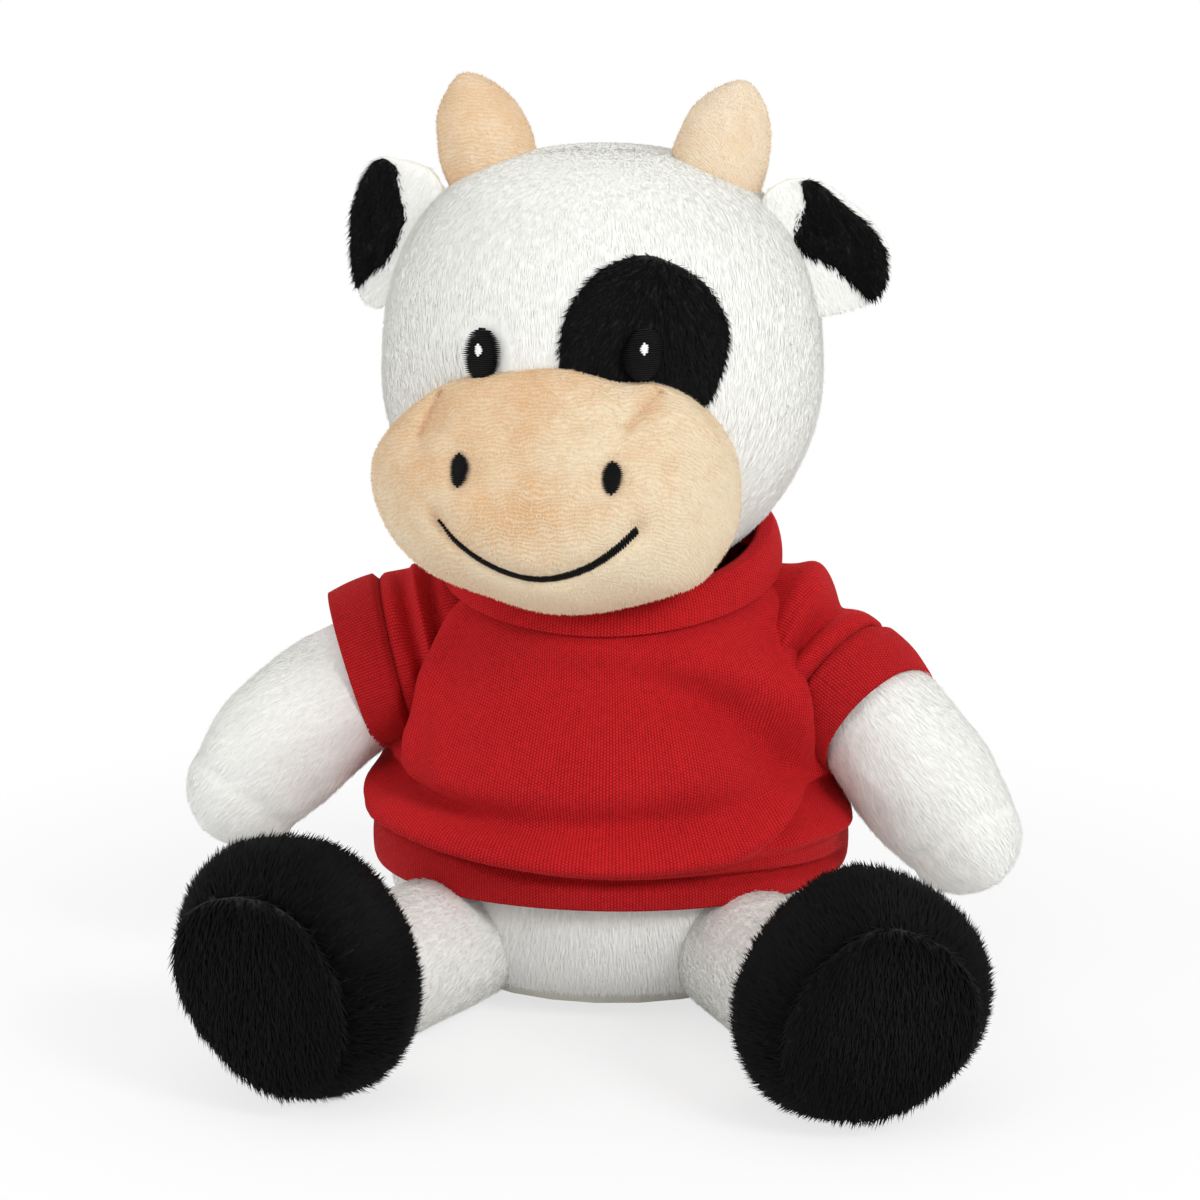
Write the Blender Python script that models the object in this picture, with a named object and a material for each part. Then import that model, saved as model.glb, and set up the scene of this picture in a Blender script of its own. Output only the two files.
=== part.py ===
# Plush cow in a red knit shirt, sitting on a shelf or floor.
# It is built as it is sewn: skins, fillings, limbs, shirt panels and stitched features,
# each a closed solid at its real size. Metres, +Z up; the cow faces -Y and its left is +X.
# The origin lies in the middle of the flat seat that it rests on.

import math

import bmesh
import bpy
from mathutils import Matrix, Vector

MM = 0.001

# Clearances and cloths
GAP = 0.35 * MM                 # between two pieces that lie against each other
PLUSH_WALL = 1.2 * MM           # woven back of the plush, with its short pile
KNIT_WALL = 1.2 * MM            # cotton knit of the shirt
THREAD_RISE = 0.7 * MM          # height of satin stitches over the cloth
OVERRUN = 30 * MM               # how far a cutter runs past what it cuts

# Torso
TORSO_HEIGHT = 82 * MM
FILLING_DROP = 3.4 * MM         # the filling ends this far under the torso's top, below the neck
TORSO_HALF_WIDTH = 44 * MM
TORSO_HALF_DEPTH = 40 * MM
PELLET_BAG_HEIGHT = 13 * MM
TORSO_SHARES = (
    # height, half width, half depth
    (0.00, 0.64, 0.62), (0.03, 0.80, 0.78), (0.10, 0.92, 0.91), (0.22, 0.99, 0.99),
    (0.34, 1.00, 1.00), (0.46, 0.98, 0.98), (0.58, 0.95, 0.94), (0.70, 0.90, 0.88),
    (0.80, 0.86, 0.83), (0.89, 0.77, 0.74), (0.95, 0.66, 0.66), (1.00, 0.50, 0.54))

# Neck and head
NECK_RADIUS = 15.5 * MM
NECK_RISE = 5.4 * MM            # centre of the neck's round top, above the torso's filling
HEAD_RISE = 41 * MM             # the head's centre, above that one
HEAD_HALF_WIDTH = 43.4 * MM
HEAD_HALF_HEIGHT = 43 * MM
HEAD_TURN_DEG = -5.0            # the head is sewn on a little turned to the cow's right
NECK_SHIFT = -1.6 * MM          # and a little to that side
HOLLOW_END_DEG = 100.0          # the filling's hollow round the neck stops this far down it

# Muzzle, seen from the front, from the head's centre
MUZZLE_HALF_WIDTH = 36.4 * MM
MUZZLE_HALF_HEIGHT = 24.2 * MM
MUZZLE_HALF_DEPTH = 24 * MM
MUZZLE_SHIFT = -5.2 * MM        # sewn on off the middle
MUZZLE_FORWARD = 30.7 * MM
MUZZLE_DROP = 18.2 * MM
NOSTRIL_WIDTH = 3.8 * MM
NOSTRIL_HEIGHT = 5.8 * MM
NOSTRIL_SPREAD = 14.6 * MM      # from the muzzle's middle to each nostril
NOSTRIL_LIFT = 8.3 * MM         # above its centre
NOSE_SHIFT = 2.2 * MM           # nostrils and smile sit back towards the head's middle
SMILE_HALF_WIDTH = 19 * MM
SMILE_DROP = 12 * MM            # its lowest point, under the muzzle's centre
SMILE_SAG = 10 * MM             # its ends lie this much higher
SMILE_WIDTH = 1.7 * MM
SMILE_TAPER_SHARE = 0.6         # of its width, lost at both ends
SMILE_TAPER_POWER = 4

# Eyes and the black patch round the left one
EYE_WIDTH = 6.4 * MM
EYE_HEIGHT = 10.2 * MM
EYE_SPREAD = 16 * MM
EYE_LIFT = 11 * MM              # above the head's centre
PATCH_EYE_LIFT = 1.5 * MM       # the eye on the patch is stitched this much higher
GLINT_DIAMETER = 2.0 * MM
GLINT_RISE = 0.35 * MM          # one layer of stitches
THREAD_RING_SHARES = (0.6, 1.0)
PATCH_RING_SHARES = (0.35, 0.7, 1.0)
PATCH_HALF_WIDTH = 17 * MM
PATCH_HALF_HEIGHT = 16 * MM
PATCH_SPREAD = 15 * MM
PATCH_LIFT = 14 * MM
PATCH_SHARES = (
    # across and up, from the patch's centre
    (1.00, 0.05), (0.86, 0.50), (0.55, 0.84), (0.10, 1.00), (-0.30, 0.86),
    (-0.66, 0.50), (-0.90, 0.08), (-1.00, -0.34), (-1.00, -0.62),
    (-0.50, -0.80), (0.05, -0.92), (0.55, -1.05), (0.86, -0.80), (1.00, -0.35))

# Horns and ears
HORN_RADIUS = 9.4 * MM
HORN_LENGTH = 28.4 * MM
HORN_SPREAD = 22 * MM           # from the middle to a horn's foot
HORN_FOOT_LIFT = 30 * MM        # its foot, above the head's centre, inside the head
HORN_LEAN_DEG = 12.0
HORN_SHARES = (
    (0.00, 0.80), (0.22, 0.96), (0.42, 1.00), (0.58, 0.91), (0.72, 0.70),
    (0.85, 0.44), (0.95, 0.22), (1.00, 0.00))
EAR_LENGTH = 20 * MM
EAR_HALF_HEIGHT = 14.5 * MM
EAR_THICKNESS = 4.4 * MM
EAR_AZIMUTH_DEG = 6.0           # the root lies this far behind the head's side
EAR_LATITUDE_DEG = 31.0         # and this far above its middle
EAR_SWEEP_DEG = 32.0            # the ear points this far back
EAR_DROOP_DEG = 22.0            # the ear hangs this much under the head's own slope
EAR_STRAIGHT_SHARE = 0.3        # of its length, before its edge lies square to it
EAR_ROOT_DEGS = (20.0, 50.0)    # along the round of its folded root
EAR_EDGE_SHARE = 0.15           # of its thickness, left at the tip
EAR_TAPER_POWER = 4
EAR_BULGE_POWER = 0.7
EAR_SHARES = (
    # along, half height
    (0.00, 0.78), (0.22, 0.94), (0.45, 1.00), (0.65, 0.92), (0.82, 0.72), (0.94, 0.42),
    (1.00, 0.16))

# Arms, each a tapered tube with a round root in a round hollow of the torso
SHOULDER_SPREAD = 40 * MM
SHOULDER_HEIGHT = 64.5 * MM
SHOULDER_FORWARD = 2 * MM
SHOULDER_RADIUS = 14.2 * MM
ROOT_ARC_DEG = 125              # from the back of the root ball to where the tube leaves it
ARM_LENGTH = 56 * MM            # from the shoulder's centre to the tip
ARM_RADIUS = 14.2 * MM
ARM_DROP_DEGS = {"left": 41.5, "right": 38.0}
ARM_FORWARD_DEG = 14.0
ARM_SHARES = (
    # along, radius
    (0.30, 0.83), (0.45, 0.92), (0.60, 0.98), (0.74, 1.00), (0.85, 0.95),
    (0.93, 0.76), (0.98, 0.44), (1.00, 0.00))

# Legs and feet
HIP_SPREAD = 27.5 * MM
HIP_FORWARD = 26 * MM
HIP_HEIGHT = 14.4 * MM
HIP_RADIUS = 13.6 * MM
LEG_RADIUS = 11.6 * MM
LEG_LENGTH = 54.5 * MM            # from the hip's centre to the foot's centre
LEG_OUT_DEG = 28.0
FOOT_HALF_WIDTH = 23.4 * MM
FOOT_HALF_HEIGHT = 24.8 * MM
FOOT_HALF_DEPTH = 20 * MM
FOOT_OUT_DEG = 17.0
FOOT_FLAT = 0.5 * MM            # pressed flat under the heel
FOOT_SHARES = (
    # along, radius
    (-1.00, 0.00), (-0.94, 0.36), (-0.77, 0.68), (-0.48, 0.90), (-0.12, 1.00),
    (0.25, 0.99), (0.52, 0.93), (0.70, 0.84), (0.80, 0.75))
FOOT_REACH_SHARES = {
    # of the full size, every 15 degrees round the foot, from the cow's left side over the top
    "left": (1.045, 1.015, 0.96, 0.92, 0.89, 0.875, 0.855, 0.81, 0.785, 0.78, 0.80, 0.83, 0.885, 0.94, 1.0,
             1.02, 1.02, 1.01, 0.995, 0.98, 0.97, 0.98, 1.02, 1.04),
    "right": (1.005, 0.98, 0.945, 0.93, 0.94, 0.95, 0.95, 0.945, 0.96, 0.96, 0.91, 0.85, 0.80, 0.76, 0.73,
              0.72, 0.77, 0.88, 0.985, 1.0, 1.035, 1.07, 1.08, 1.05)}
SOLE_THICKNESS = 1.8 * MM
SOLE_SHARES = (
    # through its thickness, radius
    (0.0, 0.0), (0.0, 1.0), (0.6, 0.97), (1.0, 0.6), (1.0, 0.0))

# Tail
TAIL_HEIGHT = 15 * MM
TAIL_ROOT_RADIUS = 4.2 * MM
TAIL_RADIUS = 2.6 * MM
TAIL_LENGTH = 24 * MM
TAIL_DROP_DEG = 14.0
TUFT_RADIUS = 5.5 * MM
TUFT_LENGTH = 14 * MM
TUFT_SHARES = ((0.0, 0.0), (0.0, 0.55), (0.3, 0.95), (0.55, 1.0), (0.8, 0.7), (1.0, 0.0))

# Shirt
HEM_LOW = 27.5 * MM             # lower edge of the hem band
HEM_HEIGHT = 9 * MM
SHIRT_EASE = 2.6 * MM           # how far the hem stands off the body
SHIRT_DROP = 4 * MM             # the panels end this far under the torso's top
COLLAR_SEAM = 1.2 * MM          # between the panels and the neckband
COLLAR_HEIGHT = 13.8 * MM
COLLAR_DIP = 12.0 * MM          # the muzzle presses its front down
COLLAR_DIP_POWER = 1.1
COLLAR_RADIUS = 31.2 * MM
SLEEVE_LENGTH = 12.2 * MM       # from the shoulder's centre to the cuff
CUFF_WIDTH = 9 * MM
SLEEVE_EASE = 1.5 * MM
SLEEVE_TUCK = 5 * MM            # how far the sleeve reaches in past the shoulder's centre
EASE_SHARES = ((0.00, 1.00), (0.17, 0.60), (0.26, 0.06), (1.00, 0.06))
CHEST_EASE = 3.7 * MM            # how far the spare cloth hangs off the chest and the back
CHEST_SHARES = (
    # height from the hem to the torso's top, share of that ease
    (0.00, 0.00), (0.16, 0.00), (0.22, 0.55), (0.28, 0.70), (0.40, 0.88), (0.50, 1.00), (0.62, 0.92),
    (0.75, 0.90), (0.85, 0.85), (0.93, 0.30), (1.00, 0.00))
PANEL_SHARES = (0.00, 0.05, 0.09, 0.13, 0.17, 0.22, 0.28, 0.40, 0.55, 0.70, 0.85, 1.00)
FOLD_HEIGHT = 41 * MM           # the roll in which the front's spare cloth lies, over the hem
FOLD_HALF_HEIGHT = 5 * MM
FOLD_RISE = 3.2 * MM
FOLD_POWER = 3                  # how fast the roll dies out towards the arms

# Heights that follow from these
FILLING_HEIGHT = TORSO_HEIGHT - FILLING_DROP
NOD_HEIGHT = FILLING_HEIGHT + NECK_RISE
HEAD_CENTRE_HEIGHT = NOD_HEIGHT + HEAD_RISE
SHIRT_TOP = TORSO_HEIGHT - SHIRT_DROP
COLLAR_LOW = SHIRT_TOP + COLLAR_SEAM
COLLAR_HIGH = COLLAR_LOW + COLLAR_HEIGHT

# Facets
RING_COUNT = 24
LIMB_COUNT = 20
SMALL_COUNT = 14
TAIL_COUNT = 12
GLINT_COUNT = 10
HEAD_STEPS = 13
STUFFING_STEPS = 11
MUZZLE_STEPS = 12
SMILE_STEPS = 18
EAR_STEPS = 8
ROOT_STEPS = 7
SOCKET_STEPS = 5                # of an arc that is less than half a turn
HOLLOW_STEPS = 12               # of a whole round hollow
CREASE_DEG = 40.0
PI = math.pi
SIDES = ((1, "left"), (-1, "right"))


def clear_scene():
    for thing in list(bpy.data.objects):
        bpy.data.objects.remove(thing, do_unlink=True)


def material(name, colour, roughness):
    made = bpy.data.materials.new(name)
    made.use_nodes = True
    shader = made.node_tree.nodes["Principled BSDF"]
    shader.inputs["Base Color"].default_value = (*colour, 1.0)
    shader.inputs["Roughness"].default_value = roughness
    shader.inputs["Metallic"].default_value = 0.0
    return made


def share_at(table, share, column):
    """Value of one column of a table of shares, between its rows."""
    for low, high in zip(table, table[1:]):
        if share <= high[0]:
            part = (share - low[0]) / (high[0] - low[0])
            return low[column] + (high[column] - low[column]) * max(part, 0.0)
    return table[-1][column]


def solid(name, rows, finish, parent=None, joined=False, strip_ends=False):
    """Closed body through rows of points; a row of one point is a pole."""
    mesh = bpy.data.meshes.new(name)
    build = bmesh.new()
    rings = [[build.verts.new(point) for point in row] for row in rows]
    pairs = list(zip(rings, rings[1:]))
    if joined:
        pairs.append((rings[-1], rings[0]))
    for first, second in pairs:
        count = max(len(first), len(second))
        for index in range(count):
            after = (index + 1) % count
            corners = [first[index % len(first)], first[after % len(first)],
                       second[after % len(second)], second[index % len(second)]]
            build.faces.new(list(dict.fromkeys(corners)))
    if not joined:
        for ring in (rings[0], rings[-1]):
            cap(build, ring, strip_ends)
    bmesh.ops.recalc_face_normals(build, faces=build.faces)
    build.to_mesh(mesh)
    build.free()
    mesh.shade_smooth()
    mesh.set_sharp_from_angle(angle=math.radians(CREASE_DEG))
    mesh.materials.append(finish)
    made = bpy.data.objects.new(name, mesh)
    bpy.context.collection.objects.link(made)
    if parent is not None:
        ride(made, parent)
    return made


def cap(build, ring, strip):
    """Closes an end ring, as a strip of quads where it is the edge of a panel."""
    if len(ring) == 1:
        return
    if not strip:
        build.faces.new(ring)
        return
    last = len(ring) - 1
    for index in range(len(ring) // 2 - 1):
        build.faces.new([ring[index], ring[index + 1], ring[last - index - 1], ring[last - index]])


def ride(made, parent):
    """Hangs an object on an empty, with its origin on the empty's place."""
    made.data.transform(Matrix.Translation(-parent.location))
    made.parent = parent


def pivot(name, place, turn_deg=0.0, parent=None):
    empty = bpy.data.objects.new(name, None)
    empty.location = place
    empty.rotation_euler = (0.0, 0.0, math.radians(turn_deg))
    bpy.context.collection.objects.link(empty)
    if parent is not None:
        empty.parent = parent
    return empty


def ellipse(centre, half_width, half_depth, count=RING_COUNT):
    """Level ring round the vertical through a centre."""
    angles = [2 * PI * step / count for step in range(count)]
    return [Vector((centre[0] + half_width * math.cos(a), centre[1] + half_depth * math.sin(a), centre[2]))
            for a in angles]


def aim(origin, direction):
    """Frame at a point, with its Z along a direction."""
    turn = Vector(direction).to_track_quat("Z", "Y").to_matrix().to_4x4()
    return Matrix.Translation(origin) @ turn


def turned_rows(profile, frame, count=RING_COUNT):
    """Rows of a turned shape; the profile lists (along, radius)."""
    rows = []
    for along, radius in profile:
        if radius == 0.0:
            rows.append([frame @ Vector((0.0, 0.0, along))])
            continue
        rows.append([frame @ Vector((radius * math.cos(2 * PI * step / count),
                                     radius * math.sin(2 * PI * step / count), along))
                     for step in range(count)])
    return rows


def ball_profile(radius, start_deg, end_deg, steps, shift=0.0):
    """Arc of a circle about the axis; 0 degrees is the pole behind."""
    profile = []
    for step in range(steps + 1):
        angle = math.radians(start_deg + (end_deg - start_deg) * step / steps)
        across = radius * math.sin(angle)
        if step == 0 and start_deg == 0:
            across = 0.0
        if step == steps and end_deg == 180:
            across = 0.0
        profile.append((shift - radius * math.cos(angle), across))
    return profile


def cut(made, tool):
    """Takes a cutter out of an object."""
    bite = made.modifiers.new("cut_" + tool.name, "BOOLEAN")
    bite.operation = "DIFFERENCE"
    bite.solver = "EXACT"
    bite.object = tool


def as_cutter(made):
    made.hide_render = True
    made.display_type = "WIRE"
    return made


def cutter(name, profile, frame, count=RING_COUNT):
    """Turned cutter, which the build leaves out."""
    return as_cutter(solid(name, turned_rows(profile, frame, count), cutter_finish()))


def cutter_finish():
    return bpy.data.materials.get("cutter") or material("cutter", (0.5, 0.5, 0.5), 0.5)


def torso_radii(height, offset=0.0):
    share = height / TORSO_HEIGHT
    return (TORSO_HALF_WIDTH * share_at(TORSO_SHARES, share, 1) + offset,
            TORSO_HALF_DEPTH * share_at(TORSO_SHARES, share, 2) + offset)


def torso_ring(height, offset=0.0, level=None):
    half_width, half_depth = torso_radii(height, offset)
    return ellipse((0.0, 0.0, height if level is None else level), half_width, half_depth)


def make_torso(white, filling, beans, cutters):
    heights = [row[0] * TORSO_HEIGHT for row in TORSO_SHARES]
    bottom = Vector((0.0, 0.0, 0.0))
    outer = [torso_ring(height) for height in heights]
    inner = [torso_ring(height, -PLUSH_WALL, max(height, PLUSH_WALL)) for height in heights if height != 0.0]
    floor_ring = torso_ring(0.0, -PLUSH_WALL, PLUSH_WALL)
    rows = [[bottom]] + outer + inner[::-1] + [floor_ring, [Vector((0.0, 0.0, PLUSH_WALL))]]
    skin = solid("torso_skin", rows, white)

    inside = PLUSH_WALL + GAP
    bag_rows = [torso_ring(height, -inside, max(height, PLUSH_WALL) + GAP)
                for height in heights if height + GAP < PELLET_BAG_HEIGHT]
    bag_rows.append(torso_ring(PELLET_BAG_HEIGHT, -inside))
    bag = solid("pellet_bag", bag_rows, beans)

    low = PELLET_BAG_HEIGHT + GAP
    levels = [low] + [height for height in heights if low < height < FILLING_HEIGHT] + [FILLING_HEIGHT]
    fill = solid("torso_stuffing", [torso_ring(level, -inside) for level in levels], filling)
    for tool in cutters:
        for piece in (skin, fill, bag):
            cut(piece, tool)


def shirt_radii(height):
    """Inner half width and half depth of the shirt at a height."""
    share = (height - HEM_LOW) / (TORSO_HEIGHT - HEM_LOW)
    ease = SHIRT_EASE * share_at(EASE_SHARES, share, 1)
    half_width, half_depth = torso_radii(height, GAP + ease)
    return half_width, half_depth + CHEST_EASE * share_at(CHEST_SHARES, share, 1)


def fold_rise(angle, height):
    """How far the roll of spare cloth stands out; it is highest in the middle of the front."""
    up = min(abs(height - FOLD_HEIGHT) / FOLD_HALF_HEIGHT, 1.0)
    return FOLD_RISE * (1 + math.cos(PI * up)) / 2 * max(-math.sin(angle), 0.0) ** FOLD_POWER


def wrap_point(angle, height, offset):
    half_width, half_depth = shirt_radii(height)
    out = offset + fold_rise(angle, height)
    return Vector(((half_width + out) * math.cos(angle), (half_depth + out) * math.sin(angle), height))


def band_section(angle, levels, wall):
    """Section of a band of cloth: up its outer face and down its inner one."""
    outer = [wrap_point(angle, level, wall) for level in levels]
    inner = [wrap_point(angle, level, 0.0) for level in levels]
    return outer + inner[::-1]


def make_shirt(red, dark_red, cutters):
    low = HEM_LOW + HEM_HEIGHT + GAP
    levels = [low + (SHIRT_TOP - low) * share for share in PANEL_SHARES]
    half = GAP / (2 * TORSO_HALF_WIDTH)
    for name, start in (("shirt_back", 0.0), ("shirt_front", PI)):
        steps = RING_COUNT // 2
        span = PI - 2 * half
        rows = [band_section(start + half + span * step / steps, levels, KNIT_WALL)
                for step in range(steps + 1)]
        panel = solid(name, rows, red, strip_ends=True)
        for tool in cutters:
            cut(panel, tool)

    hem_levels = [HEM_LOW, HEM_LOW + HEM_HEIGHT / 2, HEM_LOW + HEM_HEIGHT]
    hem_rows = [band_section(2 * PI * step / RING_COUNT, hem_levels, KNIT_WALL) for step in range(RING_COUNT)]
    hem = solid("hem_band", hem_rows, dark_red, joined=True)
    for tool in cutters:
        cut(hem, tool)

    collar_rows = []
    for step in range(RING_COUNT):
        angle = 2 * PI * step / RING_COUNT
        collar_rows.append(collar_section(angle))
    solid("neckband", collar_rows, red, joined=True)


def collar_section(angle):
    """Section of the neckband, whose upper edge dips in front, under the muzzle."""
    forward = max(-math.sin(angle), 0.0)
    high = COLLAR_HIGH - COLLAR_DIP * forward ** COLLAR_DIP_POWER
    levels = [COLLAR_LOW, (COLLAR_LOW + high) / 2, high]
    section = [(COLLAR_RADIUS + KNIT_WALL, level) for level in levels]
    section += [(COLLAR_RADIUS, level) for level in levels[::-1]]
    return [Vector((radius * math.cos(angle), radius * math.sin(angle), level)) for radius, level in section]


def neck_frame():
    """Upright axis of the neck and the head."""
    return Matrix.Translation((NECK_SHIFT, 0.0, 0.0))


def make_neck(white, turn):
    base = FILLING_HEIGHT + GAP
    dome = ball_profile(NECK_RADIUS, 90, 180, SOCKET_STEPS, NOD_HEIGHT)
    profile = [(base, 0.0), (base, NECK_RADIUS)] + dome
    solid("neck", turned_rows(profile, neck_frame()), white, turn)


def head_profile(offset, steps, mouth_deg):
    """Section of the head's outer or inner skin, from its mouth to its crown."""
    profile = []
    for step in range(steps + 1):
        angle = math.radians(mouth_deg + (180 - mouth_deg) * step / steps)
        across = (HEAD_HALF_WIDTH + offset) * math.sin(angle)
        if step == steps:
            across = 0.0
        profile.append((HEAD_CENTRE_HEIGHT - (HEAD_HALF_HEIGHT + offset) * math.cos(angle), across))
    return profile


def make_head(white, filling, nod):
    upright = neck_frame()
    mouth = NECK_RADIUS + GAP
    mouth_deg = math.degrees(math.asin(mouth / HEAD_HALF_WIDTH))
    inner_mouth_deg = math.degrees(math.asin(mouth / (HEAD_HALF_WIDTH - PLUSH_WALL)))
    outer = head_profile(0.0, HEAD_STEPS, mouth_deg)
    inner = head_profile(-PLUSH_WALL, HEAD_STEPS, inner_mouth_deg)
    solid("head_skin", turned_rows(inner[::-1] + outer, upright), white, nod)

    # The filling's hollow is where the neck's round top sits.
    inside = -(PLUSH_WALL + GAP)
    fill_mouth_deg = math.degrees(math.asin(mouth / (HEAD_HALF_WIDTH + inside)))
    fill = head_profile(inside, STUFFING_STEPS, fill_mouth_deg)
    hollow = ball_profile(mouth, 180, HOLLOW_END_DEG, SOCKET_STEPS, NOD_HEIGHT)
    hollow[0] = (hollow[0][0], 0.0)
    solid("head_stuffing", turned_rows(hollow + fill, upright), filling, nod)


def head_room():
    """The head with its clearance, which the horns are cut by."""
    profile = head_profile(GAP, 2 * HEAD_STEPS, 0.0)
    profile[0] = (profile[0][0], 0.0)
    return cutter("head_room", profile, neck_frame(), 2 * RING_COUNT)


def face_y(x, z):
    """Front of the head at a point seen from the front; z is from the head's centre."""
    inside = 1 - (x / HEAD_HALF_WIDTH) ** 2 - (z / HEAD_HALF_HEIGHT) ** 2
    return -HEAD_HALF_WIDTH * math.sqrt(max(inside, 0.0))


def muzzle_y(x, z):
    """Front of the muzzle at a point seen from the front."""
    across = (x - MUZZLE_SHIFT) / MUZZLE_HALF_WIDTH
    up = (z + MUZZLE_DROP) / MUZZLE_HALF_HEIGHT
    return -MUZZLE_FORWARD - MUZZLE_HALF_DEPTH * math.sqrt(max(1 - across ** 2 - up ** 2, 0.0))


def make_muzzle(peach, room, nod):
    """Flattened ball, hollowed behind by the head that it is sewn to."""
    centre = Vector((NECK_SHIFT + MUZZLE_SHIFT, -MUZZLE_FORWARD, HEAD_CENTRE_HEIGHT - MUZZLE_DROP))
    rows = []
    for step in range(MUZZLE_STEPS + 1):
        angle = PI * step / MUZZLE_STEPS
        level = centre + Vector((0.0, 0.0, -MUZZLE_HALF_HEIGHT * math.cos(angle)))
        if step in (0, MUZZLE_STEPS):
            rows.append([level])
            continue
        rows.append(ellipse(level, MUZZLE_HALF_WIDTH * math.sin(angle), MUZZLE_HALF_DEPTH * math.sin(angle)))
    cut(solid("muzzle", rows, peach, nod), room)


def pad(name, outline, centre, back, front, finish, nod, shares=THREAD_RING_SHARES):
    """Pad on the face: its outline is seen from the front, its faces follow two surfaces."""
    rows = [[face_point(centre[0], centre[1], back)]]
    scaled = [[(centre[0] + share * (x - centre[0]), centre[1] + share * (z - centre[1])) for x, z in outline]
              for share in shares]
    rows += [[face_point(x, z, back) for x, z in ring] for ring in scaled]
    rows += [[face_point(x, z, front) for x, z in ring] for ring in scaled[::-1]]
    rows += [[face_point(centre[0], centre[1], front)]]
    return solid(name, rows, finish, nod)


def face_point(x, z, surface):
    return Vector((NECK_SHIFT + x, surface(x, z), HEAD_CENTRE_HEIGHT + z))


def oval(centre, width, height, count=TAIL_COUNT):
    return [(centre[0] + width / 2 * math.cos(2 * PI * step / count),
             centre[1] + height / 2 * math.sin(2 * PI * step / count)) for step in range(count)]


def lifted(surface, lift):
    return lambda x, z: surface(x, z) - lift


def make_face(black_plush, black_thread, white_thread, nod):
    patch_centre = (PATCH_SPREAD, PATCH_LIFT)
    patch = [(PATCH_SPREAD + PATCH_HALF_WIDTH * across, PATCH_LIFT + PATCH_HALF_HEIGHT * up)
             for across, up in PATCH_SHARES]
    patch_front = GAP + PLUSH_WALL
    pad("eye_patch", patch, patch_centre, lifted(face_y, GAP), lifted(face_y, patch_front), black_plush, nod,
        PATCH_RING_SHARES)

    for side, name, base, lift in ((1, "left", patch_front, PATCH_EYE_LIFT), (-1, "right", 0.0, 0.0)):
        centre = (side * EYE_SPREAD, EYE_LIFT + lift)
        top = base + GAP + THREAD_RISE
        pad("eye_" + name, oval(centre, EYE_WIDTH, EYE_HEIGHT), centre,
            lifted(face_y, base + GAP), lifted(face_y, top), black_thread, nod)
        pad("glint_" + name, oval(centre, GLINT_DIAMETER, GLINT_DIAMETER, GLINT_COUNT), centre,
            lifted(face_y, top + GAP), lifted(face_y, top + GAP + GLINT_RISE), white_thread, nod)
        nose = (MUZZLE_SHIFT + NOSE_SHIFT + side * NOSTRIL_SPREAD, NOSTRIL_LIFT - MUZZLE_DROP)
        pad("nostril_" + name, oval(nose, NOSTRIL_WIDTH, NOSTRIL_HEIGHT), nose,
            lifted(muzzle_y, GAP), lifted(muzzle_y, GAP + THREAD_RISE), black_thread, nod)
    make_smile(black_thread, nod)


def make_smile(black_thread, nod):
    """Line of satin stitches, thin at both ends."""
    back = lifted(muzzle_y, GAP)
    front = lifted(muzzle_y, GAP + THREAD_RISE)
    rows = []
    for step in range(SMILE_STEPS + 1):
        share = 2 * step / SMILE_STEPS - 1
        x = MUZZLE_SHIFT + NOSE_SHIFT + SMILE_HALF_WIDTH * share
        z = -MUZZLE_DROP - SMILE_DROP + SMILE_SAG * share ** 2
        half = SMILE_WIDTH / 2 * (1 - SMILE_TAPER_SHARE * share ** SMILE_TAPER_POWER)
        rows.append([face_point(x, z - half, back), face_point(x, z + half, back),
                     face_point(x, z + half, front), face_point(x, z - half, front)])
    solid("smile", rows, black_thread, nod)


def make_horns(peach, room, nod):
    for side, name in ((1, "horn_left"), (-1, "horn_right")):
        foot = Vector((NECK_SHIFT + side * HORN_SPREAD, 0.0, HEAD_CENTRE_HEIGHT + HORN_FOOT_LIFT))
        lean = math.radians(HORN_LEAN_DEG)
        frame = aim(foot, (side * math.sin(lean), 0.0, math.cos(lean)))
        profile = [(along * HORN_LENGTH, radius * HORN_RADIUS) for along, radius in HORN_SHARES]
        horn = solid(name, turned_rows(profile, frame, SMALL_COUNT), peach, nod)
        cut(horn, room)


def ear_frame(side):
    """Origin on the ear's root; Z runs up the root on the head, X leaves it, Y points back."""
    around = math.radians(EAR_AZIMUTH_DEG)
    up = math.radians(EAR_LATITUDE_DEG)
    sweep = math.radians(EAR_SWEEP_DEG)
    normal = Vector((side * math.cos(up) * math.cos(around), math.cos(up) * math.sin(around), math.sin(up)))
    behind = Vector((-side * math.sin(around), math.cos(around), 0.0))
    climb = Vector((-side * math.sin(up) * math.cos(around), -math.sin(up) * math.sin(around), math.cos(up)))
    out = normal * math.cos(sweep) + behind * math.sin(sweep)
    back = behind * math.cos(sweep) - normal * math.sin(sweep)
    reach = HEAD_HALF_WIDTH + GAP + EAR_THICKNESS / 2
    root = Vector((NECK_SHIFT, 0.0, HEAD_CENTRE_HEIGHT)) + normal * reach
    return Matrix.Translation(root) @ Matrix((out, back, climb)).transposed().to_4x4()


def make_ears(white, black_plush, nod):
    for side, name in SIDES:
        frame = ear_frame(side)
        hinge = pivot("ear_flap_" + name, frame.to_translation() - nod.location, parent=nod)
        for face, finish, way in (("front", black_plush, -1), ("back", white, 1)):
            rows = ear_rows(way)
            rows = [[frame @ point for point in row] for row in rows]
            panel = solid("ear_" + face + "_" + name, rows, finish)
            panel.data.transform(Matrix.Translation(-frame.to_translation()))
            panel.parent = hinge


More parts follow.
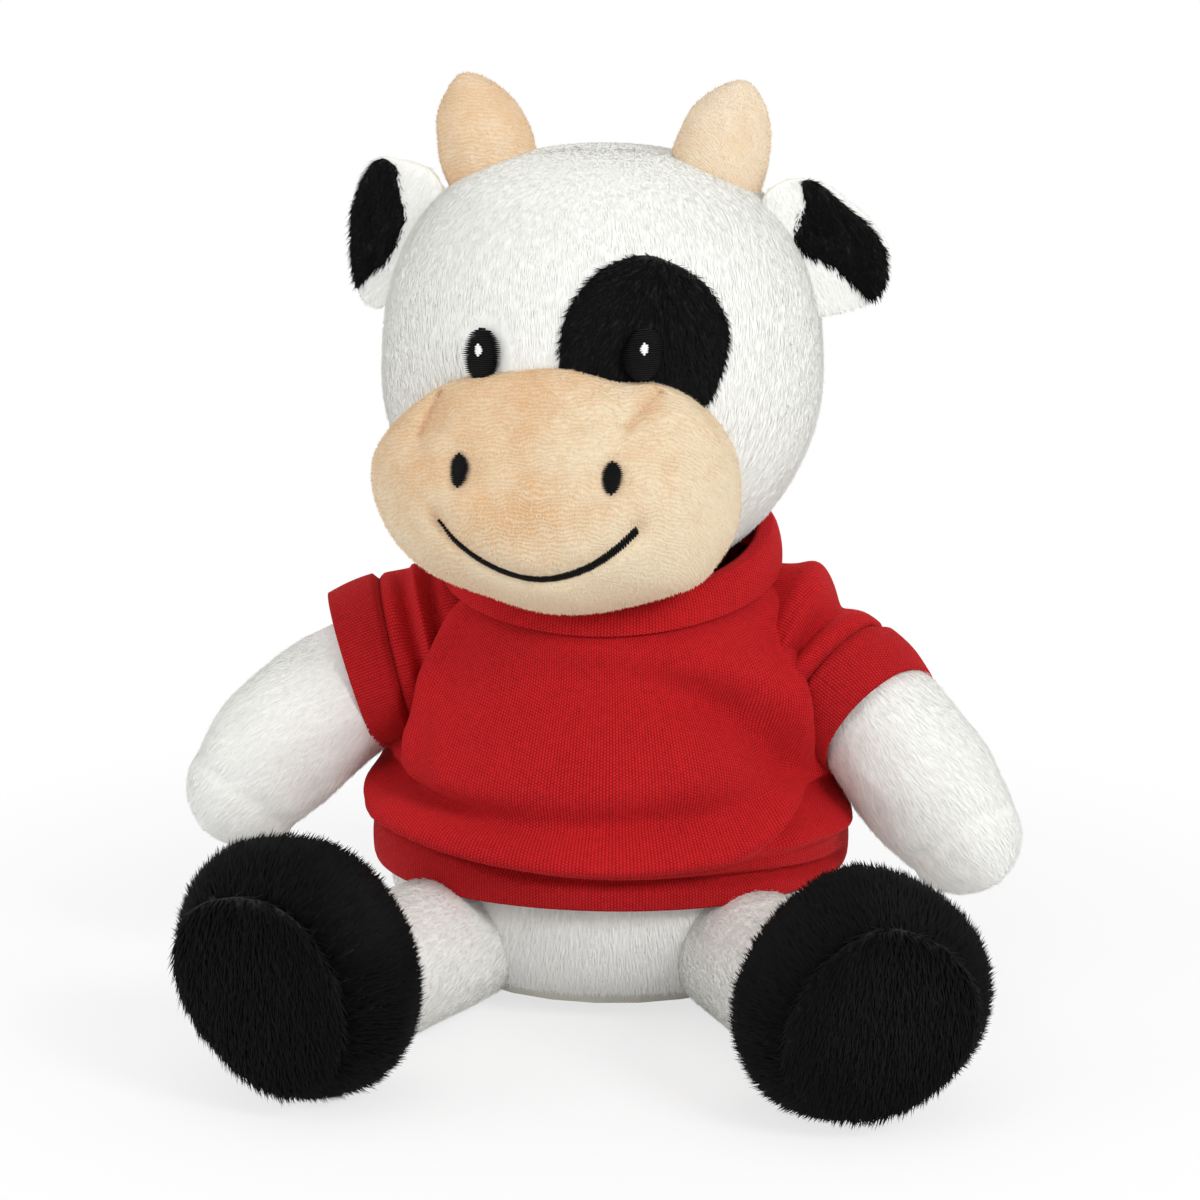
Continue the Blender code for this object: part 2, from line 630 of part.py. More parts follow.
def ear_rows(way):
    """Half of the ear's thickness, round at its root and tip; way is -1 in front and 1 behind."""
    half = EAR_THICKNESS / 2
    stations = []
    for angle in EAR_ROOT_DEGS:
        stations.append((-half * math.cos(math.radians(angle)), 0.0, EAR_SHARES[0][1],
                         math.sin(math.radians(angle))))
    for along, height in EAR_SHARES:
        thick = EAR_EDGE_SHARE + (1 - EAR_EDGE_SHARE) * math.sqrt(1 - along ** EAR_TAPER_POWER)
        stations.append((along * EAR_LENGTH, min(along / EAR_STRAIGHT_SHARE, 1.0), height, thick))
    droop = math.radians(EAR_DROOP_DEG)
    rows = []
    for along, leaned, height, thick in stations:
        row = []
        for step in range(EAR_STEPS + 1):
            angle = PI * step / EAR_STEPS
            bulge = (half - GAP / 2) * thick * math.sin(angle) ** EAR_BULGE_POWER
            across = EAR_HALF_HEIGHT * height * math.cos(angle)
            out = along if along < 0 else along * math.cos(droop) + across * math.sin(droop) * leaned
            climb = across - max(along, 0.0) * math.sin(droop)
            row.append(Vector((out, way * (GAP / 2 + bulge), climb)))
        rows.append(row)
    return rows


def arm_direction(side, name):
    out = math.radians(ARM_DROP_DEGS[name])
    forward = math.radians(ARM_FORWARD_DEG)
    level = math.cos(out)
    return Vector((side * level * math.cos(forward), -level * math.sin(forward), -math.sin(out)))


def shoulder(side):
    return Vector((side * SHOULDER_SPREAD, -SHOULDER_FORWARD, SHOULDER_HEIGHT))


def cuff_radius():
    """Inner radius of the cuff, over the tube where it leaves the root ball."""
    return SHOULDER_RADIUS * math.sin(math.radians(ROOT_ARC_DEG)) + GAP + SLEEVE_EASE


def sleeve_profile(offset):
    """Round the root ball and then straight to the cuff, this far outside the sleeve's inner face."""
    start_deg = ROOT_ARC_DEG * 2 / ROOT_STEPS
    arc = ball_profile(SHOULDER_RADIUS + GAP + offset, start_deg, ROOT_ARC_DEG, ROOT_STEPS - 2)
    return arc + [(SLEEVE_LENGTH, cuff_radius() + offset)]


def make_arms(white, red, dark_red, limits):
    for side, name in SIDES:
        centre = shoulder(side)
        hinge = pivot("arm_swing_" + name, centre)
        frame = aim(centre, arm_direction(side, name))
        root = ball_profile(SHOULDER_RADIUS, 0, ROOT_ARC_DEG, ROOT_STEPS)
        tube = [(along * ARM_LENGTH, radius * ARM_RADIUS) for along, radius in ARM_SHARES]
        solid("arm_" + name, turned_rows(root + tube, frame, LIMB_COUNT), white, hinge)

        rows = turned_rows(sleeve_profile(KNIT_WALL) + sleeve_profile(0.0)[::-1], frame, LIMB_COUNT)
        sleeve = solid("sleeve_" + name, rows, red, hinge, joined=True)
        cut(sleeve, limits[side])

        start = SLEEVE_LENGTH + GAP
        ends = (start, start + CUFF_WIDTH)
        outer = [(along, cuff_radius() + KNIT_WALL) for along in ends]
        inner = [(along, cuff_radius()) for along in ends]
        rows = turned_rows(outer + inner[::-1], frame, LIMB_COUNT)
        solid("cuff_" + name, rows, dark_red, hinge, joined=True)


def armhole_cutters():
    """Round hollow of each shoulder, and beside it the dish that arm and sleeve turn in."""
    reach = SHOULDER_RADIUS + GAP
    room = reach + KNIT_WALL + GAP
    tuck_deg = math.degrees(math.acos(SLEEVE_TUCK / reach))
    thickness = cuff_radius() + KNIT_WALL + GAP
    cutters = []
    for side, name in SIDES:
        slant = math.acos(abs(arm_direction(side, name).x))
        dish_start = room / math.tan(slant) - thickness / math.sin(slant)
        dish_reach = room + (OVERRUN - dish_start) * math.tan(slant)
        profile = ball_profile(reach, 0, tuck_deg, SOCKET_STEPS)
        profile += [(-SLEEVE_TUCK, room), (dish_start, room), (OVERRUN, dish_reach), (OVERRUN, 0.0)]
        cutters.append(cutter("armhole_" + name, profile, aim(shoulder(side), (side, 0.0, 0.0))))
    return cutters


def sleeve_limits():
    """Everything on the torso's side of each armhole's step, which the sleeve stays clear of."""
    reach = SHOULDER_RADIUS + OVERRUN
    start = SLEEVE_TUCK - GAP
    profile = [(start, 0.0), (start, reach), (OVERRUN, reach), (OVERRUN, 0.0)]
    return {side: cutter("sleeve_limit_" + name, profile, aim(shoulder(side), (-side, 0.0, 0.0)))
            for side, name in SIDES}


def hip(side):
    return Vector((side * HIP_SPREAD, -HIP_FORWARD, HIP_HEIGHT))


def leg_direction(side):
    out = math.radians(LEG_OUT_DEG)
    return Vector((side * math.sin(out), -math.cos(out), 0.0))


def foot_frame(side):
    out = math.radians(FOOT_OUT_DEG)
    level = hip(side) + leg_direction(side) * LEG_LENGTH
    centre = Vector((level.x, level.y, FOOT_HALF_HEIGHT - FOOT_FLAT))
    forward = Vector((side * math.sin(out), -math.cos(out), 0.0))
    across = Vector((math.cos(out), side * math.sin(out), 0.0))
    up = Vector((0.0, 0.0, 1.0))
    turn = Matrix((across, up, forward)).transposed().to_4x4()
    return Matrix.Translation(centre) @ turn


def foot_row(side, place, radius, grow=0.0):
    """Ring of the foot this far along it; a radius share of zero is a pole."""
    frame = foot_frame(side)
    if radius == 0.0:
        return [frame @ Vector((0.0, 0.0, place))]
    row = []
    reaches = FOOT_REACH_SHARES[dict(SIDES)[side]]
    for step, reach in enumerate(reaches):
        angle = 2 * PI * step / len(reaches)
        row.append(frame @ Vector(((FOOT_HALF_WIDTH * reach + grow) * radius * math.cos(angle),
                                   (FOOT_HALF_HEIGHT * reach + grow) * radius * math.sin(angle), place)))
    return row


def foot_rows(side, grow=0.0):
    return [foot_row(side, along * (FOOT_HALF_DEPTH + grow), radius, grow) for along, radius in FOOT_SHARES]


def make_legs(white, black_plush, black_sole):
    floor = floor_cutter()
    for side, name in SIDES:
        centre = hip(side)
        hinge = pivot("leg_swing_" + name, centre)
        frame = aim(centre, leg_direction(side))
        narrow_deg = 180 - math.degrees(math.asin(LEG_RADIUS / HIP_RADIUS))
        root = ball_profile(HIP_RADIUS, 0, narrow_deg, ROOT_STEPS)
        profile = root + [(LEG_LENGTH, LEG_RADIUS), (LEG_LENGTH, 0.0)]
        leg = solid("leg_" + name, turned_rows(profile, frame, LIMB_COUNT), white, hinge)
        foot_room = as_cutter(solid("foot_room_" + name, foot_rows(side, GAP), cutter_finish()))
        cut(leg, foot_room)

        foot = solid("foot_" + name, foot_rows(side), black_plush, hinge)
        cut(foot, floor)

        face = FOOT_SHARES[-1][0] * FOOT_HALF_DEPTH + GAP
        rim = FOOT_SHARES[-1][1]
        rows = [foot_row(side, face + deep * SOLE_THICKNESS, rim * radius) for deep, radius in SOLE_SHARES]
        solid("sole_" + name, rows, black_sole, hinge)


def floor_cutter():
    reach = LEG_LENGTH + HIP_SPREAD + HIP_FORWARD + OVERRUN
    rows = [ellipse((0.0, 0.0, -OVERRUN), reach, reach), ellipse((0.0, 0.0, 0.0), reach, reach)]
    return as_cutter(solid("floor_under", rows, cutter_finish()))


def hip_cutters():
    profile = ball_profile(HIP_RADIUS + GAP, 0, 180, HOLLOW_STEPS)
    return [cutter("hip_" + name, profile, aim(hip(side), leg_direction(side)), LIMB_COUNT)
            for side, name in SIDES]


def make_tail(white, black_plush, tail_place):
    hinge = pivot("tail_wag", tail_place)
    drop = math.radians(TAIL_DROP_DEG)
    frame = aim(tail_place, (0.0, math.cos(drop), -math.sin(drop)))
    narrow_deg = 180 - math.degrees(math.asin(TAIL_RADIUS / TAIL_ROOT_RADIUS))
    profile = ball_profile(TAIL_ROOT_RADIUS, 0, narrow_deg, ROOT_STEPS)
    profile += [(TAIL_LENGTH, TAIL_RADIUS), (TAIL_LENGTH, 0.0)]
    solid("tail", turned_rows(profile, frame, TAIL_COUNT), white, hinge)
    start = TAIL_LENGTH + GAP
    tuft = [(start + along * TUFT_LENGTH, radius * TUFT_RADIUS) for along, radius in TUFT_SHARES]
    solid("tail_tuft", turned_rows(tuft, frame, TAIL_COUNT), black_plush, hinge)


def main():
    clear_scene()
    white = material("white_plush", (0.80, 0.82, 0.77), 0.95)
    black_plush = material("black_plush", (0.006, 0.006, 0.007), 0.9)
    black_sole = material("black_sole", (0.010, 0.010, 0.011), 0.95)
    peach = material("peach_plush", (0.79, 0.61, 0.40), 0.9)
    red = material("red_knit", (0.48, 0.020, 0.022), 0.85)
    dark_red = material("red_rib", (0.36, 0.012, 0.014), 0.85)
    black_thread = material("black_thread", (0.008, 0.008, 0.008), 0.5)
    white_thread = material("white_thread", (0.85, 0.85, 0.85), 0.5)
    filling = material("polyester_filling", (0.85, 0.85, 0.85), 1.0)
    beans = material("pellet_bag_cloth", (0.7, 0.7, 0.68), 0.9)

    armholes = armhole_cutters()
    hips = hip_cutters()
    tail_place = Vector((0.0, torso_radii(TAIL_HEIGHT)[1], TAIL_HEIGHT))
    tail_room = cutter("tail_room", ball_profile(TAIL_ROOT_RADIUS + GAP, 0, 180, HOLLOW_STEPS),
                       aim(tail_place, (0.0, 1.0, 0.0)), SMALL_COUNT)

    make_torso(white, filling, beans, armholes + hips + [tail_room])
    make_shirt(red, dark_red, armholes + hips)
    turn = pivot("head_turn", (NECK_SHIFT, 0.0, FILLING_HEIGHT), HEAD_TURN_DEG)
    make_neck(white, turn)
    nod = pivot("head_nod", (NECK_SHIFT, 0.0, NOD_HEIGHT), HEAD_TURN_DEG)
    make_head(white, filling, nod)
    room = head_room()
    make_muzzle(peach, room, nod)
    make_face(black_plush, black_thread, white_thread, nod)
    make_horns(peach, room, nod)
    make_ears(white, black_plush, nod)
    make_arms(white, red, dark_red, sleeve_limits())
    make_legs(white, black_plush, black_sole)
    make_tail(white, black_plush, tail_place)


main()
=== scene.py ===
# %% [markdown]
# # A plush cow in a red knit shirt
# This lesson dresses a imported model of a small stuffed cow: the white and black pile, the short
# velvet of its muzzle and horns, the jersey shirt with its folds, and the stitched face.
# The imported model holds the sizes and the joints, and nothing here moves or resizes it. Every
# piece made below, but the sleeves, rides on one of its bodies, so the toy can still nod, wave and kick.

# %% Load the imported model
import math
import random
from functools import partial

import bmesh
import bpy
from mathutils import Matrix, Vector


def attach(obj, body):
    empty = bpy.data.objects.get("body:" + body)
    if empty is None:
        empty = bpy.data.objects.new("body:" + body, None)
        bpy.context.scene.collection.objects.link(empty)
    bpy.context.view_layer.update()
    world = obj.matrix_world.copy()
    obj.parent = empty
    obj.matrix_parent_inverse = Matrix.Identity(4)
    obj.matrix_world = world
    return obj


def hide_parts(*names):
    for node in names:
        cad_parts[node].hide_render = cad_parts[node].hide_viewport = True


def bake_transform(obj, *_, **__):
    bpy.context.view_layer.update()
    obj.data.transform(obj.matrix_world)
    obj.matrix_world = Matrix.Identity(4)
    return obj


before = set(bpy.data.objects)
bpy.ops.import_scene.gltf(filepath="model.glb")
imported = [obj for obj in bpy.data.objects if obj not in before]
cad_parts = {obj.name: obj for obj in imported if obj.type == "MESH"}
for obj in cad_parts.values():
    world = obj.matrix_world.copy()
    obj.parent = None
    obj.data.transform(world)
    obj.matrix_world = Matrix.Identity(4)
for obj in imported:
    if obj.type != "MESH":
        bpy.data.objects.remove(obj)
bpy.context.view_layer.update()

# %% [markdown]
# ## Units and small helpers
# Lengths below are millimetres, because that is how a toy pattern is drawn. One helper turns them
# into Blender's metres when a mesh is made. A skin is described as rows of points, like the
# hoops of a barrel, and joined with four-sided faces. A row of one point closes an end.

# %% Helpers for numbers
MM = 0.001
PI = math.pi
SIDES = ((1, "left"), (-1, "right"))


def smooth(low, high, value):
    """0 below low, 1 above high, and an easy curve between them."""
    share = min(max((value - low) / (high - low), 0.0), 1.0)
    return share * share * (3 - 2 * share)


def bell(off, wide, below=None):
    """Round bump, 1 in its middle; its width may be another where off isn't above 0."""
    if below is not None and off <= 0:
        wide = below
    return math.exp(-(off / wide) ** 2)


def turns(count):
    """Even angles once round a circle."""
    return [2 * PI * step / count for step in range(count)]


def flowing(table, at, column=1):
    """Value between the rows of a table on a smooth curve through all of them."""
    places = [row[0] for row in table]
    at = min(max(at, places[0]), places[-1])
    spot = max(i for i in range(len(places) - 1) if places[i] <= at or i == 0)
    low, high = table[spot], table[spot + 1]
    before, after = table[max(spot - 1, 0)], table[min(spot + 2, len(table) - 1)]
    span = high[0] - low[0]
    share = (at - low[0]) / span
    rise_low = (high[column] - before[column]) / (high[0] - before[0]) * span
    rise_high = (after[column] - low[column]) / (after[0] - low[0]) * span
    s2, s3 = share * share, share ** 3
    return ((2 * s3 - 3 * s2 + 1) * low[column] + (s3 - 2 * s2 + share) * rise_low
            + (3 * s2 - 2 * s3) * high[column] + (s3 - s2) * rise_high)


def wheel(values, angle):
    """Value at an angle, where the values stand at even steps round a circle."""
    count = len(values)
    place = (angle / (2 * PI) % 1.0) * count
    spot = int(place)
    share = place - spot
    a, b, c, d = [values[(spot + step) % count] for step in (-1, 0, 1, 2)]
    bend = 2 * a - 5 * b + 4 * c - d + share * (3 * (b - c) + d - a)
    return b + 0.5 * share * (c - a + share * bend)


def round_outline(points, count=64):
    """Even, rounded outline through a few points (x, z)."""
    xs, zs = [p[0] for p in points], [p[1] for p in points]
    return [(wheel(xs, turn), wheel(zs, turn)) for turn in turns(count)]


def lump(u, v, seed):
    """Slow unevenness of hand stuffing, from -1 to 1."""
    return (math.sin(2.1 * u + 1.3 * v + seed) + math.sin(3.7 * v - 1.9 * u + 2.3 * seed)
            + 0.6 * math.sin(5.3 * u + 4.1 * v + 1.7 * seed)) / 2.6


print("a bump half a width out is still", round(bell(0.5, 1.0), 2), "high")

# %% [markdown]
# ## From rows of points to a mesh
# Every skin is made by one function, which also turns its faces outwards and gives it its cloth.
# A thin pad, such as an ear, is a skin too: its rows shrink from the outline to the middle on
# both sides. A piece with modifiers is settled into a plain mesh, which is what an export needs.

# %% Helpers for meshes
PAD_SHARES = (0.12, 0.25, 0.38, 0.5, 0.61, 0.71, 0.8, 0.87, 0.93, 0.97, 1.0)


def pad_rows(outline, middle, place, front, back):
    """Rows of a thin pad: place gives a point of it, front and back say how far it stands out."""
    rows = [[place(*middle, front(0.0))]]
    for side, shares in ((front, PAD_SHARES), (back, PAD_SHARES[-2::-2])):
        for share in shares:
            rows.append([place(middle[0] + share * (x - middle[0]), middle[1] + share * (z - middle[1]),
                               side(share)) for x, z in outline])
    return rows + [[place(*middle, back(0.0))]]


def put_in_scene(name, data):
    """Object that shows a mesh, a lamp or a camera."""
    made = bpy.data.objects.new(name, data)
    bpy.context.scene.collection.objects.link(made)
    return made


def face_out(piece):
    """Turns all the faces of a closed skin outwards."""
    work = bmesh.new()
    work.from_mesh(piece.data)
    bmesh.ops.recalc_face_normals(work, faces=work.faces)
    work.to_mesh(piece.data)
    work.free()


def shade_smooth(piece):
    for face in piece.data.polygons:
        face.use_smooth = True


def skin(name, rows, material):
    """Mesh through rows of points in millimetres; each point is (x, y, z)."""
    verts, faces, starts = [], [], []
    for row in rows:
        starts.append(len(verts))
        verts.extend((x * MM, y * MM, z * MM) for x, y, z in row)
    numbered = list(zip(rows, starts))
    for (first, a), (second, b) in zip(numbered, numbered[1:]):
        count = max(len(first), len(second))
        for step in range(count):
            after = (step + 1) % count
            ring = [a + step % len(first), a + after % len(first),
                    b + after % len(second), b + step % len(second)]
            ring = list(dict.fromkeys(ring))
            if len(ring) > 2:
                faces.append(ring)
    mesh = bpy.data.meshes.new(name)
    mesh.from_pydata(verts, [], faces)
    mesh.materials.append(material)
    piece = put_in_scene(name, mesh)
    face_out(piece)
    shade_smooth(piece)
    return piece


def settle(piece):
    """Turns a piece and its modifiers into one plain mesh, with no empty places for materials."""
    shown = piece.evaluated_get(bpy.context.evaluated_depsgraph_get())
    mesh = bpy.data.meshes.new_from_object(shown)
    piece.modifiers.clear()
    piece.data = mesh
    mesh.name = piece.name
    for number in reversed(range(len(mesh.materials))):
        if mesh.materials[number] is None:
            mesh.materials.pop(index=number)
    return piece


def count_faces(*pieces):
    for piece in pieces:
        print(piece.name, len(piece.data.polygons), "faces")


print("a pad has", 2 + len(PAD_SHARES) + len(PAD_SHARES[-2::-2]), "rows")

# %% [markdown]
# ## Camera
# The photograph was taken with a long lens, a little above the toy and a little to its left.
# The angles and distance below were found by laying the model's outline over it.

# %% Camera
CAMERA_AZIMUTH, CAMERA_ELEVATION, CAMERA_DISTANCE = math.radians(6), math.radians(15), 900
CAMERA_TARGET = Vector((-2.2, 0.0, 77.4))
lens = bpy.data.cameras.new("photo_camera")
lens.lens = 135
lens.sensor_width = 36
lens.clip_start = 0.05
camera = put_in_scene("photo_camera", lens)
toward = Vector((math.sin(CAMERA_AZIMUTH) * math.cos(CAMERA_ELEVATION),
                 -math.cos(CAMERA_AZIMUTH) * math.cos(CAMERA_ELEVATION), math.sin(CAMERA_ELEVATION)))
camera.location = (CAMERA_TARGET + toward * CAMERA_DISTANCE) * MM
camera.rotation_euler = toward.to_track_quat("Z", "Y").to_euler()
bpy.context.scene.camera = camera
print("camera at", [round(c, 3) for c in camera.location])

# %% [markdown]
# ## Colours and the node helper
# Colours are written as the hex values that a paint program shows, and one function turns them
# into the linear numbers that the renderer mixes. One more function adds a node to a tree, with
# its settings and its inputs. Inputs that are sockets are linked, and others are typed in.

# %% Colours and nodes


def linear(hex_colour):
    """Hex colour of the screen as linear red, green, blue and alpha."""
    parts = [int(hex_colour[i:i + 2], 16) / 255 for i in (1, 3, 5)]
    return (*[p / 12.92 if p <= 0.04045 else ((p + 0.055) / 1.055) ** 2.4 for p in parts], 1.0)


def add(tree, kind, settings=None, inputs=None):
    """Adds a node; inputs are keyed by name or by number."""
    node = tree.nodes.new(kind)
    for key, value in (settings or {}).items():
        setattr(node, key, value)
    for key, value in (inputs or {}).items():
        socket = node.inputs[key]
        if isinstance(value, bpy.types.NodeSocket):
            tree.links.new(value, socket)
        else:
            socket.default_value = value
    return node


def finish(name, colour, roughness, sheen=0.0, tint="#ffffff", specular=0.5):
    """Material with a plain colour; returns it with its tree and shader to build on."""
    made = bpy.data.materials.new(name)
    made.use_nodes = True
    tree = made.node_tree
    shader = tree.nodes["Principled BSDF"]
    shader.inputs["Base Color"].default_value = linear(colour)
    shader.inputs["Roughness"].default_value = roughness
    shader.inputs["Specular IOR Level"].default_value = specular
    shader.inputs["Sheen Weight"].default_value = sheen
    shader.inputs["Sheen Roughness"].default_value = 0.5
    shader.inputs["Sheen Tint"].default_value = linear(tint)
    return made, tree, shader


def math_node(tree, operation, *values):
    return add(tree, "ShaderNodeMath", {"operation": operation}, dict(enumerate(values))).outputs[0]


def sums(tree):
    """Short forms of the three sums that a tree uses most: plus, times and sine."""
    return [partial(math_node, tree, operation) for operation in ("ADD", "MULTIPLY", "SINE")]


def object_place(tree):
    return add(tree, "ShaderNodeTexCoord").outputs["Object"]


def split(tree, vector):
    """The X, Y and Z of a vector, as three sockets."""
    return add(tree, "ShaderNodeSeparateXYZ", inputs={"Vector": vector}).outputs


def noise(tree, place, scale, detail=2.0, roughness=0.5):
    settings = {"Vector": place, "Scale": scale, "Detail": detail, "Roughness": roughness}
    return add(tree, "ShaderNodeTexNoise", inputs=settings).outputs["Fac"]


def two_tones(tree, value, low, dark, high, light):
    """Colour that runs from one tone at a low value to another at a high one."""
    ramp = add(tree, "ShaderNodeValToRGB", inputs={"Fac": value})
    for stop, position, colour in zip(ramp.color_ramp.elements, (low, high), (dark, light)):
        stop.position = position
        stop.color = linear(colour)
    return ramp.outputs["Color"]


def bumpy(tree, shader, height, strength, distance_mm):
    """Lets a material catch the light as if its face rose and fell."""
    settings = {"Height": height, "Strength": strength, "Distance": distance_mm * MM}
    tree.links.new(add(tree, "ShaderNodeBump", inputs=settings).outputs[0], shader.inputs["Normal"])


print("mid grey is", round(linear("#808080")[0], 3), "in linear numbers")

# %% [markdown]
# ## Plush: what the cloth and the pile look like
# Toy plush is a knitted polyester back with a brushed pile of fine fibres. Close up one sees short
# streaks where fibres lie together, lighter on their tips and darker between them. The fibres are
# made as real geometry further down, each in one plain colour, so the cloth under them only needs
# the same colour with a soft unevenness. A few shades of fibre give the streaks.

# %% Plush materials


def plush_back(name, light, dark, size_mm, bump):
    """Knitted back of the plush, uneven where the pile parts."""
    made, tree, shader = finish(name, light, 0.92)
    streak = add(tree, "ShaderNodeMapping", inputs={"Vector": object_place(tree), "Scale": (1.0, 1.0, 0.35)})
    fine = noise(tree, streak.outputs[0], 1.0 / (size_mm * MM), 3.0)
    tree.links.new(two_tones(tree, fine, 0.35, dark, 0.65, light), shader.inputs["Base Color"])
    bumpy(tree, shader, fine, bump, 0.3)
    return made


def fibre_shades(cloth, roughness, specular, **colours):
    """Fibres of one colour each: polyester is a little glossy along its length."""
    return [finish(cloth + "_fibre_" + shade, colour, roughness, specular=specular)[0]
            for shade, colour in colours.items()]


white_back = plush_back("white_plush_back", "#fafaf7", "#f1f1ed", 0.9, 0.3)
black_back = plush_back("black_plush_back", "#050506", "#020202", 0.9, 0.6)
white_fibres = fibre_shades("white", 0.8, 0.2, bright="#fdfdfb", mid="#fafaf7", soft="#f6f6f2")
black_fibres = fibre_shades("black", 0.6, 0.09, warm="#070706", blue="#040507", deep="#020202")
peach_fibres = fibre_shades("peach", 0.75, 0.2, pale="#efdcc0", mid="#e9cfac")
print("plush materials:", white_back.name, black_back.name)
print("shades of fibre:", len(white_fibres) + len(black_fibres) + len(peach_fibres))

# %% [markdown]
# ## Velvet of the muzzle and horns
# This plush has a pile under a millimetre high. The knitted rows of its back show through as
# fine ribs 0.85 mm apart, and the colour wanders between pale cream and a warmer peach where the
# pile is pressed. The ribs follow the piece's own map, which is in millimetres. Where stitches
# squeeze the cloth, its colour is deeper and pinker, with painted shade in the creases, and a
# painted highlight makes the toy's left side paler.

# %% Velvet material
RIB_MM = 0.85


def velvet(name, pale, warm, chin):
    """Short velvet; chin says how much paler it grows downwards."""
    made, tree, shader = finish(name, pale, 0.9, sheen=0.08, tint="#fff4e4", specular=0.12)
    plus, times, sine = sums(tree)
    place = object_place(tree)
    # Ribs: level rows that bend up to one side and wander a little.
    flat = split(tree, add(tree, "ShaderNodeUVMap").outputs[0])
    bent = math_node(tree, "POWER", math_node(tree, "MAXIMUM", flat["X"], 0.0), 2.0)
    level = plus(flat["Y"], times(bent, 1 / 30))
    wander = times(noise(tree, place, 230.0, 3.0), 4.5)
    rib = sine(times(plus(times(level, 1 / RIB_MM), wander), 2 * PI))
    ribs = times(rib, times(noise(tree, place, 40.0), 0.42))
    # Flecks: the pile's tips, three times as high as wide.
    upright = add(tree, "ShaderNodeMapping", inputs={"Vector": place, "Scale": (1.0, 1.0, 0.33)})
    depth = plus(ribs, noise(tree, upright.outputs[0], 2600.0, 3.0, 0.7))
    # Painted highlight: paler to the toy's left, the side that the key panel lights, and paler towards the
    # chin.
    spot = split(tree, place)
    aside = math_node(tree, "MAXIMUM", times(spot["X"], 7.0), -0.08)
    lower = times(math_node(tree, "SUBTRACT", 0.112, spot["Z"]), 14.0 * chin)
    painted_highlight_and_chin = plus(aside, math_node(tree, "MAXIMUM", lower, 0.0))
    tone = plus(noise(tree, place, 70.0, 5.0, 0.7), plus(times(depth, 0.42), painted_highlight_and_chin))
    # Painted shade: where stitches squeeze the velvet, its colour runs towards a darker, pinker peach.
    crease_shade_amount = add(tree, "ShaderNodeAttribute", {"attribute_name": "pinch_shade"})
    crease_shaded_tone = add(tree, "ShaderNodeMix", {"data_type": "RGBA"},
                   {"Factor": times(crease_shade_amount.outputs["Fac"], 0.3),
                    6: two_tones(tree, tone, 0.50, warm, 0.92, pale), 7: linear("#dba47c")})
    tree.links.new(crease_shaded_tone.outputs[2], shader.inputs["Base Color"])
    bumpy(tree, shader, depth, 0.7, 0.3)
    return made


muzzle_velvet = velvet("peach_velvet", "#eadabd", "#dcb286", 1.0)
horn_velvet = velvet("horn_velvet", "#f0dec4", "#e4c096", 0.0)
print("velvet:", muzzle_velvet.name, horn_velvet.name)

# %% [markdown]
# ## Red jersey
# The shirt is cut from cotton and polyester jersey. Its stitches stand in columns 0.61 mm apart,
# and neighbouring columns are half a stitch out of step, so the face looks like a fine lattice
# of grains. The map of each cloth piece is in millimetres, so the stitch keeps its real size.

# %% Jersey material
COLUMN_MM, ROW_MM = 0.61, 0.63


def jersey(name, face, groove, depth):
    """Knit: grains in columns, where every other column is half a stitch higher."""
    made, tree, shader = finish(name, face, 0.8, sheen=0.5, tint="#ff4a4a", specular=0.08)
    plus, times, sine = sums(tree)
    place = object_place(tree)
    flat = split(tree, add(tree, "ShaderNodeUVMap").outputs[0])
    column = times(flat["X"], 1 / COLUMN_MM)
    odd = times(math_node(tree, "FLOORED_MODULO", math_node(tree, "FLOOR", column), 2.0), 0.5)
    row = plus(times(flat["Y"], 1 / ROW_MM), odd)
    across, along = [sine(times(math_node(tree, "FRACT", count), PI)) for count in (column, row)]
    grain = times(across, math_node(tree, "POWER", along, 0.6))
    slub, cloud = noise(tree, place, 900.0, 1.0), noise(tree, place, 45.0)
    shade = plus(times(grain, 0.66), plus(times(slub, 0.30), times(cloud, 0.22)))
    tree.links.new(two_tones(tree, shade, 0.22, groove, 0.80, face), shader.inputs["Base Color"])
    bumpy(tree, shader, grain, depth, 0.14)
    return made


red_jersey = jersey("red_jersey", "#ce2127", "#850c10", 0.7)
red_band = jersey("red_jersey_band", "#c52025", "#7c0b0f", 0.8)
print("jersey:", red_jersey.name, red_band.name)

# %% [markdown]
# ## Thread and filling
# The face is stitched in rayon embroidery thread, which shines softly along each stitch. The
# filling and the bag of pellets lie inside and hardly ever show, but they get their own finish
# too: lofty white fibre, and a plain tight cotton weave.

# %% Thread and filling materials
black_thread, _, _ = finish("black_rayon_thread", "#080707", 0.5, specular=0.14)
white_thread, _, _ = finish("white_rayon_thread", "#f6f6f4", 0.4, specular=0.5)
filling_fibre = plush_back("polyester_filling", "#f4f4f2", "#dedede", 2.0, 1.0)


def weave_cloth(name, thread, gap, pitch_mm):
    """Plain weave: two sets of threads that cross at right angles."""
    made, tree, shader = finish(name, thread, 0.9)
    plus, times, sine = sums(tree)
    spot = split(tree, object_place(tree))
    warp, weft = [sine(times(spot[axis], 2 * PI / (pitch_mm * MM))) for axis in "XZ"]
    cloth = plus(times(times(warp, weft), 0.5), 0.5)
    tree.links.new(two_tones(tree, cloth, 0.0, gap, 1.0, thread), shader.inputs["Base Color"])
    return made


pellet_cloth = weave_cloth("pellet_bag_cotton", "#e9e6dc", "#c9c5b8", 0.8)
for node, cloth in (("torso_stuffing", filling_fibre), ("head_stuffing", filling_fibre),
                    ("pellet_bag", pellet_cloth)):
    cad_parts[node].data.materials.clear()
    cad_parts[node].data.materials.append(cloth)
print("inside:", filling_fibre.name, pellet_cloth.name)

# %% [markdown]
# ## Geometry Nodes for what repeats
# Tufts of pile and stitches of thread repeat by the thousand. Both are grown by a node tree: it
# takes a mesh, reads what each point stores, and puts one small shape there, turned and sized.

# %% Helpers for node trees


